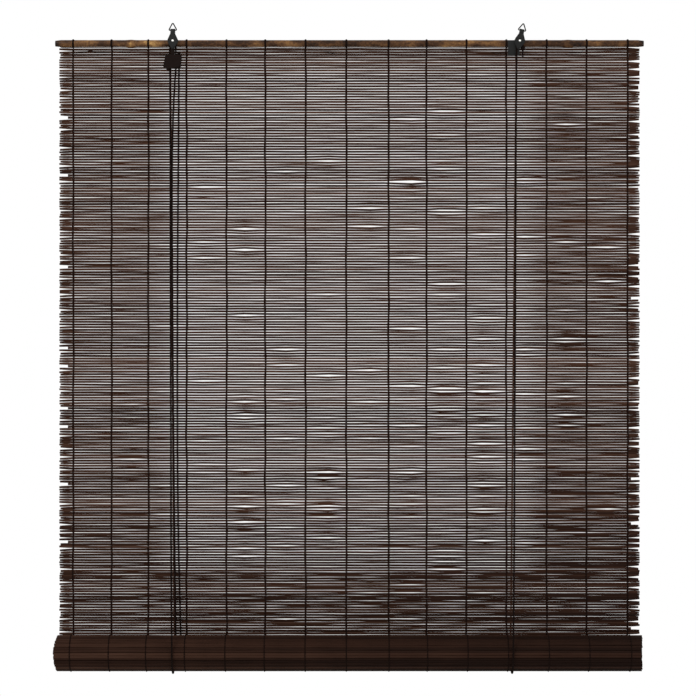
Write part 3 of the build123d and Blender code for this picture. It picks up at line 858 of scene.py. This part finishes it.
def laid_cord(name, routes, step=0.0016):
    """Three twisted plies along each route, as one mesh."""
    lines = []
    for route in routes:
        centre, run = dense(route, step)
        ahead = np.gradient(centre, axis=0)
        ahead /= np.linalg.norm(ahead, axis=1)[:, None]
        first = np.cross(ahead[0], (0.31, 0.84, 0.45))
        side = np.empty_like(centre)
        for k in range(len(centre)):
            first = first - ahead[k] * np.dot(first, ahead[k])
            first = first / np.linalg.norm(first)
            side[k] = first
        other = np.cross(ahead, side)
        for ply in range(3):
            angle = 2 * math.pi * (run / LAY + ply / 3)[:, None]
            lines.append(centre + PLY_OFFSET * (side * np.cos(angle) + other * np.sin(angle)))
    piece = thread_lines(name, lines, PLY_R, 6)
    paint(piece, cotton)
    smooth(piece, 80)
    return piece


def spline_points(name, route):
    """Points of a smooth spline that has the route's points as its control points."""
    curve = bpy.data.curves.new(name, "CURVE")
    curve.dimensions = "3D"
    curve.resolution_u = 24
    spline = curve.splines.new("NURBS")
    spline.points.add(len(route) - 1)
    for point, place_at in zip(spline.points, route):
        point.co = (*place_at, 1.0)
    spline.order_u = 3
    spline.use_endpoint_u = True
    holder = bpy.data.objects.new(name, curve)
    scene.collection.objects.link(holder)
    bpy.context.view_layer.update()
    line = bpy.data.meshes.new_from_object(holder.evaluated_get(bpy.context.evaluated_depsgraph_get()))
    found = [tuple(v.co) for v in line.vertices]
    bpy.data.objects.remove(holder)
    bpy.data.meshes.remove(line)
    return found


def arc(centre, radius, a_axis, b_axis, start, end, steps=24):
    """Points on an arc in the plane of two axes, from one angle to another in degrees."""
    centre, a_axis, b_axis = Vector(centre), Vector(a_axis), Vector(b_axis)
    angles = [math.radians(start + (end - start) * k / steps) for k in range(steps + 1)]
    return [tuple(centre + radius * (math.cos(t) * a_axis + math.sin(t) * b_axis)) for t in angles]


# %% Lift cord
SHEAVE_Y = -0.01335
AXLE_Z = -0.0359
WRAP_R = 0.0061
LOOP_R = 0.0407
REAR_Y = 0.0037
CROSS_Y = 0.01045
POST_Z = RAIL_Z - 0.001
CROSS_FOOT = RAIL_Z - 0.060
FRONT_RUN = ((0, 0), (0.16, 0), (0.25, 0.25), (0.64, 0.685), (0.8, 0.948), (0.9, 0.998), (1, 1))
units = {"left": (-0.3595, -0.357), "right": (0.3465, 0.329)}
for side, (unit_x, loop_x) in units.items():
    top_x = unit_x - WRAP_R
    start = Vector((top_x, SHEAVE_Y, AXLE_Z))
    reach = Vector((loop_x, ROLL_Y - LOOP_R, ROLL_Z)) - start
    route = [start + Vector((reach.x * down, reach.y * out, reach.z * down)) for down, out in FRONT_RUN]
    front = laid_cord(f"{side}_front_lift", [spline_points("front_run", route)])
    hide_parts(f"{side}_front_cord")
    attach(front, "frame")
    squash_up(front)
    rear = laid_cord(f"{side}_rear_lift", [[(top_x, REAR_Y, CROSS_FOOT), (loop_x, REAR_Y, ROLL_Z)]])
    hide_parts(f"{side}_rear_cord")
    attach(rear, "frame")
    squash_up(rear)

loops = laid_cord(
    "roll_slings",
    [arc((x, ROLL_Y, ROLL_Z), LOOP_R, (0, -1, 0), (0, 0, -1), 0, 180, 60) for _, x in units.values()],
)
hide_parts("cord_loops")
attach(loops, "carriage")

left_top, right_top = (x - WRAP_R for x, _ in units.values())
bend_out = [
    (REAR_Y, CROSS_FOOT),
    (REAR_Y, RAIL_Z - 0.052),
    (0.0048, RAIL_Z - 0.042),
    (0.0093, RAIL_Z - 0.023),
    (CROSS_Y, RAIL_Z - 0.014),
    (CROSS_Y, POST_Z),
]
rise = [(left_top, y, z) for y, z in bend_out]
over_left = arc((left_top + WRAP_R, CROSS_Y, POST_Z), WRAP_R, (-1, 0, 0), (0, 0, 1), 0, 90)
over_right = arc((right_top - WRAP_R, CROSS_Y, POST_Z), WRAP_R, (0, 0, 1), (1, 0, 0), 0, 90)
fall = [(right_top, y, z) for y, z in reversed(bend_out)]
cross = laid_cord("cross_lift", [rise[:-1] + over_left + over_right + fall[1:]])
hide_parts("lift_cord")
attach(cross, "frame")

LOCK_DROP, END_DROP = 0.059, 0.0342
LOCK_FOOT = AXLE_Z - LOCK_DROP
for side, drop in (("left", LOCK_DROP), ("right", END_DROP)):
    x = units[side][0]
    over = arc((x, SHEAVE_Y, AXLE_Z), WRAP_R, (-1, 0, 0), (0, 0, 1), 0, 180)
    top = laid_cord(f"{side}_top_lift", [over + [(x + WRAP_R, SHEAVE_Y, AXLE_Z - drop)]])
    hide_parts("lift_cord")
    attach(top, "frame")
print("lift cord laid")

# %% Pull cords
PULL_ROUTE = [
    (-353.4, -13.35, -95.1),
    (-358.4, -13.2, -160.0),
    (-361.6, -13.0, -300.0),
    (-360.4, -12.0, -540.0),
    (-358.6, -10.4, -820.0),
    (-356.4, -8.4, -1040.0),
    (-354.0, -5.4, -1254.0),
]
RETURN_ROUTE = [
    (-347.0, -13.35, -95.1),
    (-347.6, -14.6, -230.0),
    (-349.6, -15.6, -470.0),
    (-350.2, -15.2, -760.0),
    (-349.6, -11.4, -960.0),
    (-347.4, -7.4, -1110.0),
    (-343.8, -5.4, -1254.0),
]
for kind, route in (("pull", PULL_ROUTE), ("return", RETURN_ROUTE)):
    name = f"{kind}_line"
    follow = spline_points(name, [[v * MM for v in place_at] for place_at in route])
    pull = laid_cord(name, [follow])
    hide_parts(f"{kind}_cord")
    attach(pull, "frame")
    squash_up(pull)

# %% [markdown]
# ## Knots
#
# A stopper knot is the cord wound through itself into a ball. A trefoil line, drawn with the cord's own
# thickness and pulled tight, gives the lumps that such a knot shows from every side.


# %% Stopper knots
KNOT_SPREAD, KNOT_DEPTH, KNOT_CORD, KNOT_STEPS = 0.62, 0.5, 0.36, 96
RETURN_X, RETURN_KNOT_Z = -0.347, AXLE_Z - 0.0258
KNOTS = {
    "end": ((units["right"][0] + WRAP_R, SHEAVE_Y, AXLE_Z - 0.0142), 0.005),
    "return": ((RETURN_X, SHEAVE_Y, RETURN_KNOT_Z), 0.0038),
}


def knot_line(centre, size):
    """Points of a trefoil line round a centre."""
    line = []
    for k in range(KNOT_STEPS + 1):
        t = 2 * math.pi * k / KNOT_STEPS
        x = size * KNOT_SPREAD * ((math.sin(t) + 2 * math.sin(2 * t)) / 3)
        y = size * KNOT_SPREAD * ((math.cos(t) - 2 * math.cos(2 * t)) / 3)
        z = size * KNOT_DEPTH * -math.sin(3 * t)
        line.append((centre[0] + x, centre[1] + y, centre[2] + z))
    return line


for name, (centre, size) in KNOTS.items():
    knot = thread_lines(f"{name}_stopper", [knot_line(centre, size)], size * KNOT_CORD, 8)
    paint(knot, cotton)
    smooth(knot, 80)
    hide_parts("lift_cord")
    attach(knot, "frame")
leg_route = [(RETURN_X, SHEAVE_Y, RETURN_KNOT_Z), (RETURN_X, SHEAVE_Y, LOCK_FOOT)]
lock_leg = laid_cord("lock_leg", [leg_route])
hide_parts("lift_cord")
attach(lock_leg, "frame")
print("knots", list(KNOTS))

# %% [markdown]
# ## Metal and plastic
#
# The pulley housings and bands are pressed steel, and the rings are bent wire, all dipped in black enamel.
# The sheaves and posts are moulded nylon, the lock is brown moulded plastic, and the rivets are bright
# steel. Each finish has a fine grain in tone, gloss and height, as dipped and moulded surfaces have.


# %% Finishes for the fittings
def fitting_finish(name, dark, light, grain_mm, roughness, gloss_level, metallic, depth):
    """A moulded or dipped surface: a fine grain in tone, gloss and height."""
    material, tree, shader = new_material(name)
    place = add_node(tree, "ShaderNodeTexCoord")
    grain = add_node(
        tree,
        "ShaderNodeTexNoise",
        inputs={"Scale": 1 / (grain_mm * MM), "Detail": 4.0, "Roughness": 0.6},
        links={"Vector": place.outputs["Object"]},
    )
    ramp = add_node(tree, "ShaderNodeValToRGB", links={"Fac": grain.outputs["Fac"]})
    set_stops(ramp, [(0.3, dark), (0.7, light)])
    tree.links.new(ramp.outputs["Color"], shader.inputs["Base Color"])
    gloss = add_node(
        tree,
        "ShaderNodeMapRange",
        inputs={"From Min": 0.3, "From Max": 0.7, "To Min": roughness - 0.08, "To Max": roughness + 0.1},
        links={"Value": grain.outputs["Fac"]},
    )
    tree.links.new(gloss.outputs["Result"], shader.inputs["Roughness"])
    bump = add_node(
        tree,
        "ShaderNodeBump",
        inputs={"Strength": 0.25, "Distance": depth * MM},
        links={"Height": grain.outputs["Fac"]},
    )
    tree.links.new(bump.outputs["Normal"], shader.inputs["Normal"])
    shader.inputs["Specular IOR Level"].default_value = gloss_level
    shader.inputs["Metallic"].default_value = metallic
    return material


enamel = fitting_finish("black_dipped_enamel", "#080808", "#141514", 2.5, 0.42, 0.2, 0.0, 0.12)
nylon = fitting_finish("black_moulded_nylon", "#0E0E0E", "#1B1B1A", 0.8, 0.5, 0.15, 0.0, 0.08)
plastic = fitting_finish("brown_moulded_plastic", "#0E0705", "#1A0F0B", 1.4, 0.55, 0.06, 0.0, 0.15)
bright = fitting_finish("bright_rolled_steel", "#CFCCC6", "#EFEDE8", 0.6, 0.25, 0.5, 1.0, 0.03)
wire = fitting_finish("dark_bent_wire", "#0B0B0B", "#191817", 1.2, 0.45, 0.15, 0.0, 0.05)
for node, material in {"lock_cam": bright, "lock_pin": enamel}.items():
    paint(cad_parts[node], material)
print("finishes", [finish.name for finish in (enamel, nylon, plastic, bright, wire)])

# %% [markdown]
# ## Pressed plates and turned pieces
#
# A pressed plate starts as a disc whose rim is moved to the outline that a tight band round a few circles
# would take. It is extruded to its thickness, pressed in a little inside its rim where the real one is, and
# its edges are broken with a small bevel, because no pressed edge is sharp. A turned piece is a profile
# that is spun about its axle.


# %% Outlines
def wrapped(circles, steps=72):
    """Outline that a tight band round circles (across, up, radius) takes."""
    outline = []
    for k in range(steps):
        aim = Vector((math.cos(2 * math.pi * k / steps), math.sin(2 * math.pi * k / steps)))
        across, up, radius = max(circles, key=lambda c: c[0] * aim.x + c[1] * aim.y + c[2])
        outline.append(Vector((across, up)) + radius * aim)
    return outline


def rounded(corners, radius):
    """Circles that round off the corners of an outline."""
    corners = [Vector(corner) for corner in corners]
    circles = []
    for k, corner in enumerate(corners):
        back = (corners[k - 1] - corner).normalized()
        ahead = (corners[(k + 1) % len(corners)] - corner).normalized()
        middle = corner + (back + ahead).normalized() * radius / math.sin(back.angle(ahead) / 2)
        circles.append((middle.x, middle.y, radius))
    return circles


def oblong(left, right, low, high):
    return [(left, low), (right, low), (right, high), (left, high)]


# %% Plates
def plate(name, outline, front, back, edge=0.0, rim=0.0, pressed=0.0):
    """A plate that faces the room, from depth front to depth back, with broken edges and a pressed face."""
    deselect_all()
    bpy.ops.mesh.primitive_circle_add(vertices=len(outline), radius=1.0, fill_type="NGON")
    piece = bpy.context.object
    piece.name = name
    bpy.ops.object.mode_set(mode="EDIT")
    mesh = bmesh.from_edit_mesh(piece.data)
    for vert, place_at in zip(mesh.verts, outline):
        vert.co = (place_at.x, back, place_at.y)
    bmesh.update_edit_mesh(piece.data)
    bpy.ops.mesh.select_all(action="SELECT")
    bpy.ops.mesh.extrude_region_move(TRANSFORM_OT_translate={"value": (0, front - back, 0)})
    if pressed:
        bpy.ops.mesh.inset(thickness=rim)
        bpy.ops.mesh.inset(thickness=pressed)
        bpy.ops.transform.translate(value=(0, pressed, 0))
    bpy.ops.mesh.select_all(action="SELECT")
    bpy.ops.mesh.normals_make_consistent(inside=False)
    bpy.ops.mesh.select_all(action="DESELECT")
    if edge:
        bpy.ops.mesh.edges_select_sharp(sharpness=math.radians(50))
        bpy.ops.mesh.bevel(offset=edge, segments=3, affect="EDGES")
    bpy.ops.object.mode_set(mode="OBJECT")
    return piece


def turned(name, axle, along, profile, steps=48):
    """A profile of (place, radius) points, spun about a line through the axle point."""
    side = Vector((1, 0, 0)) if along.y else Vector((0, 1, 0))
    mesh = bpy.data.meshes.new(name)
    points = [axle + along * place_at + side * radius for place_at, radius in profile]
    mesh.from_pydata(points, [(k, k + 1) for k in range(len(points) - 1)], [])
    piece = bpy.data.objects.new(name, mesh)
    scene.collection.objects.link(piece)
    activate(piece)
    bpy.ops.object.mode_set(mode="EDIT")
    bpy.ops.mesh.select_all(action="SELECT")
    bpy.ops.mesh.spin(steps=steps, angle=2 * math.pi, center=axle, axis=along)
    bpy.ops.mesh.select_all(action="SELECT")
    bpy.ops.mesh.remove_doubles(threshold=0.001 * MM)
    bpy.ops.mesh.normals_make_consistent(inside=False)
    bpy.ops.object.mode_set(mode="OBJECT")
    return piece


def fit(pieces, node, body, material):
    """Joins the pieces into one that stands for a node, and gives it its finish and its body."""
    activate(pieces[0])
    for other in pieces[1:]:
        other.select_set(True)
    if len(pieces) > 1:
        bpy.ops.object.join()
    paint(pieces[0], material)
    smooth(pieces[0], 35)
    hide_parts(node)
    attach(pieces[0], body)


# %% [markdown]
# ## Pulley units
#
# Two cheeks hold the sheave between them, and a neck joins them at the top and ends in the barrel where the
# ring turns. A band clips each unit to the rail, with a flat lug in front and a plate behind. The cheeks
# are drawn upright and then leaned, because the right unit hangs askew.

# %% Turned parts of the units
ACROSS, DEEP = Vector((1, 0, 0)), Vector((0, 1, 0))
SHEAVE_HALF, GROOVE_HALF = 0.0035, 0.0021
FLANGE_R, BORE_R = 0.0086, 0.00165
HEAD_R, HEAD_HEIGHT, SHANK_R = 0.0025, 0.0012, 0.0016
POST_R, POST_HEAD_R, POST_HEAD_THICK, POST_SHANK_R = 0.004, 0.006, 0.0012, 0.0015
LUG_THICK = 0.0009
SOFT_EDGE = 0.0003


def groove_profile():
    """Half section of a sheave: round flanges, and a groove that holds the cord's lower half."""
    out = [(-SHEAVE_HALF, BORE_R), (-SHEAVE_HALF, FLANGE_R - 2 * SOFT_EDGE)]
    out += [(-SHEAVE_HALF + SOFT_EDGE, FLANGE_R), (-GROOVE_HALF - SOFT_EDGE, FLANGE_R)]
    groove = [math.radians(180 + 15 * k) for k in range(7)]
    out += [(GROOVE_HALF * math.cos(t), WRAP_R + GROOVE_HALF * math.sin(t)) for t in groove]
    mirrored = [(-at, r) for at, r in reversed(out[:-1])]
    return out + mirrored + out[:1]


def rivet_profile(tip, tail, head_r, shank_r):
    """Half section of a rivet from its domed head in front to its tail."""
    dome = [math.radians(15 * k) for k in range(7)]
    out = [(tip + HEAD_HEIGHT * (1 - math.cos(t)), head_r * math.sin(t)) for t in dome]
    return out + [(tip + HEAD_HEIGHT, shank_r), (tail, shank_r), (tail, 0)]


def post_profile(front, back):
    """Half section of a guide post: shank in front, drum, and a round-edged head behind."""
    inner = back - POST_HEAD_THICK
    collar = front + LUG_THICK
    out = [(front, 0), (front, POST_SHANK_R), (collar, POST_SHANK_R), (collar, POST_R)]
    out += [(inner, POST_R), (inner, POST_HEAD_R - SOFT_EDGE), (inner + SOFT_EDGE, POST_HEAD_R)]
    return out + [(back - SOFT_EDGE, POST_HEAD_R), (back, POST_HEAD_R - SOFT_EDGE), (back, 0)]


for side, (unit_x, _) in units.items():
    axle = Vector((unit_x, SHEAVE_Y, AXLE_Z))
    sheave = turned(f"{side}_groove_wheel", axle, DEEP, groove_profile())
    fit([sheave], f"{side}_sheave", f"{side}_wheel", nylon)
    low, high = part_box(f"{side}_axle_rivet")
    axle.y = 0
    rivet = turned(f"{side}_round_rivet", axle, DEEP, rivet_profile(low[1], high[1], HEAD_R, SHANK_R))
    fit([rivet], f"{side}_axle_rivet", "frame", bright)
    low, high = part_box(f"{side}_guide_post")
    post_axle = Vector(((low[0] + high[0]) / 2, 0, (low[2] + high[2]) / 2))
    post = turned(f"{side}_cord_post", post_axle, DEEP, post_profile(low[1], high[1]))
    fit([post], f"{side}_guide_post", "frame", nylon)
low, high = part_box("lock_rivet")
axle = Vector(((low[0] + high[0]) / 2, 0, (low[2] + high[2]) / 2))
LOCK_SHANK_R = 0.0013
profile = rivet_profile(low[1], high[1], (high[0] - low[0]) / 2, LOCK_SHANK_R)
rivet = turned("lock_round_rivet", axle, DEEP, profile)
fit([rivet], "lock_rivet", "frame", enamel)
print("sheaves, rivets and posts turned")

# %% Housings
CHEEK_R, CROWN_R, CROWN_REACH, TAIL_R, TAIL_REACH = 0.0105, 0.0048, 0.0135, 0.0035, 0.0138
CHEEK_THICK, HOUSING_GAP = 0.0012, 0.0076
BAR_RISE, BARREL_R, NECK_HALF, NECK_LOW, NECK_SHOULDER = 0.0214, 0.003, 0.0048, 0.011, 0.015
CHEEK_RIM, CHEEK_PRESSED = 0.0013, 0.0004
leans = {"left": 0.0, "right": 12.0}


def leaned(side, across, up):
    """X and Z of a point of a unit that was drawn upright about its axle."""
    tilt = math.radians(leans[side])
    x = units[side][0] + across * math.cos(tilt) + up * math.sin(tilt)
    return x, AXLE_Z - across * math.sin(tilt) + up * math.cos(tilt)


for side in units:
    low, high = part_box(f"{side}_pulley_housing")
    cheek = wrapped([(0, 0, CHEEK_R), (0, CROWN_REACH, CROWN_R), (0, -TAIL_REACH, TAIL_R)])
    front = plate("front_cheek", cheek, low[1], low[1] + CHEEK_THICK, SOFT_EDGE, CHEEK_RIM, CHEEK_PRESSED)
    rear = plate("rear_cheek", cheek, high[1] - CHEEK_THICK, high[1], SOFT_EDGE)
    half_depth = HOUSING_GAP / 2 + CHEEK_THICK / 2
    shoulders = rounded(oblong(-half_depth, half_depth, NECK_LOW, NECK_SHOULDER), 2 * SOFT_EDGE)
    neck = plate("neck", wrapped(shoulders + [(0, BAR_RISE, BARREL_R)]), -NECK_HALF, NECK_HALF, SOFT_EDGE)
    points = read_points(neck)
    points = np.stack([points[:, 1], points[:, 0] + SHEAVE_Y, points[:, 2]], axis=1)
    write_points(neck, points)
    neck.data.flip_normals()
    for piece in (front, rear, neck):
        points = read_points(piece)
        points[:, 0], points[:, 2] = leaned(side, points[:, 0], points[:, 2])
        write_points(piece, points)
    front.name = f"{side}_pressed_housing"
    fit([front, rear, neck], f"{side}_pulley_housing", "frame", enamel)
print("housings", list(units))

# %% Rail bands
BAND_HALF, BAND_IN, BAND_OUT = 0.0045, RAIL_R + 0.0001, RAIL_R + 0.001
BAND_FACE = 0.00835
LUG_RISE, LUG_FALL, PLATE_RISE, PLATE_FALL = 0.009, 0.003, 0.004, 0.0065
CLIP_AND_SHADOW_RISE, CLIP_AND_SHADOW_FALL = 0.006, 0.025
PLATE_CORNER, PLATE_EDGE, PLATE_MARGIN = 0.0015, 0.0002, 0.005
band_profile = [
    (-BAND_HALF, BAND_IN),
    (-BAND_HALF, BAND_OUT - PLATE_EDGE),
    (-BAND_HALF + PLATE_EDGE, BAND_OUT),
    (BAND_HALF - PLATE_EDGE, BAND_OUT),
    (BAND_HALF, BAND_OUT - PLATE_EDGE),
    (BAND_HALF, BAND_IN),
    (-BAND_HALF, BAND_IN),
]
for side, (unit_x, _) in units.items():
    low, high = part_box(f"{side}_rail_band")
    strap = turned("strap", Vector((unit_x, 0, RAIL_Z)), ACROSS, band_profile, 64)
    lug = oblong(unit_x - BAND_HALF, unit_x + BAND_HALF, RAIL_Z - LUG_FALL, RAIL_Z + LUG_RISE)
    plates = [(lug, -BAND_FACE)]
    post_low, post_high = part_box(f"{side}_guide_post")
    post_x = (post_low[0] + post_high[0]) / 2
    back_left = min(unit_x - BAND_HALF, post_x - PLATE_MARGIN)
    back_right = max(unit_x + BAND_HALF, post_x + PLATE_MARGIN)
    back_plate = oblong(back_left, back_right, RAIL_Z - PLATE_FALL, RAIL_Z + PLATE_RISE)
    plates.append((back_plate, BAND_FACE - LUG_THICK))
    # The right unit gets one more dark plate in front. It reaches left of the band, down over the rail and
    # the top reeds. It is partly a clip, and partly the housing's shadow on the rail and reeds, painted as
    # a dark enamel plate.
    if side == "right":
        plates.append((oblong(low[0], unit_x, RAIL_Z - CLIP_AND_SHADOW_FALL, RAIL_Z + CLIP_AND_SHADOW_RISE), -BAND_FACE))
    pieces = [strap]
    for corners, y in plates:
        outline = wrapped(rounded(corners, PLATE_CORNER))
        pieces.append(plate("band_plate", outline, y, y + LUG_THICK, PLATE_EDGE))
    strap.name = f"{side}_pressed_band"
    fit(pieces, f"{side}_rail_band", "frame", enamel)
print("bands on the rail", len(units))

# %% [markdown]
# ## Cord lock
#
# The lock is a moulded block that tapers to a corner, hung by an ear from the pulley's tail. The cords run
# through three channels in it, which are cut with a Boolean from the finished block. The cutters are plain
# and the solver is Manifold, because the Exact solver didn't give the same block in every run.

# %% Lock body
LOCK_WIDTH, LOCK_HEIGHT, LOCK_HANG = 0.039, 0.0315, 0.0275
LOCK_CORNER_SHARES = ((-0.36, 0.0), (-0.5, -0.81), (-0.3, -1.0), (0.42, -0.84), (0.47, -0.06))
LOCK_CORNER, LOCK_EDGE = 0.004, 0.0014
EAR_HALF, EAR_THICK, EAR_ROOT = 0.0035, 0.003, 0.004
CHANNEL_HALF, LIFT_RUN, RETURN_OFFSET, CUT_PAST = 0.00235, 0.0034, 0.0125, 0.01
unit_x = units["left"][0]
low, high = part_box("lock_body")
corners = [
    (unit_x + a * LOCK_WIDTH, AXLE_Z - LOCK_HANG + b * LOCK_HEIGHT) for a, b in LOCK_CORNER_SHARES
]
block = plate("moulded_lock", wrapped(rounded(corners, LOCK_CORNER), 96), low[1], high[1], LOCK_EDGE)
ear_circles = [(unit_x, AXLE_Z - TAIL_REACH, EAR_HALF), (unit_x, AXLE_Z - LOCK_HANG - EAR_ROOT, EAR_HALF)]
ear = plate("lock_ear", wrapped(ear_circles), SHEAVE_Y - EAR_THICK / 2, SHEAVE_Y + EAR_THICK / 2, SOFT_EDGE)
channels = [
    (-WRAP_R, SHEAVE_Y - CHANNEL_HALF - LIFT_RUN, SHEAVE_Y + CHANNEL_HALF),
    (WRAP_R, SHEAVE_Y - CHANNEL_HALF, SHEAVE_Y + CHANNEL_HALF),
    (RETURN_OFFSET, SHEAVE_Y - CHANNEL_HALF, SHEAVE_Y + CHANNEL_HALF),
]
for offset, front, back in channels:
    middle = unit_x + offset
    sides = oblong(middle - CHANNEL_HALF, middle + CHANNEL_HALF, low[2] - CUT_PAST, high[2])
    cutter = plate("channel", wrapped(rounded(sides, SOFT_EDGE)), front, back)
    activate(block)
    cut = block.modifiers.new("channel", "BOOLEAN")
    cut.operation = "DIFFERENCE"
    cut.solver = "MANIFOLD"
    cut.object = cutter
    bpy.ops.object.modifier_apply(modifier=cut.name)
    bpy.data.objects.remove(cutter)
fit([block, ear], "lock_body", "frame", plastic)
print("lock triangles", sum(len(f.vertices) - 2 for f in block.data.polygons))

# %% [markdown]
# ## Wire rings
#
# Each ring is one piece of round wire, bent to a triangle whose base turns in the housing's barrel. A
# closed line with rounded corners and a round bevel is smoother than the solid's six-sided wire.

# %% Rings
WIRE_R = 0.0012
RING_HALF, RING_HEIGHT, RING_CORNER = 0.0084, 0.0155, 0.0016
ring_corners = [(-RING_HALF, 0), (RING_HALF, 0), (0, RING_HEIGHT)]
for side in units:
    line = []
    for p in wrapped(rounded(ring_corners, RING_CORNER)):
        x, z = leaned(side, p.x, p.y + BAR_RISE)
        line.append((x, SHEAVE_Y, z))
    line.append(line[0])
    ring = thread_lines(f"{side}_wire_ring", [line], WIRE_R, 12)
    fit([ring], f"{side}_ring", f"{side}_eye", wire)
print("rings bent")

# %% [markdown]
# ## Last look
#
# The box of everything that is dressed is measured and printed. The dressed blind has
# to stay in the box of the solids.

# %% Measure and finish
low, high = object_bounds()
print("visual box", [round(v, 4) for v in low], [round(v, 4) for v in high])
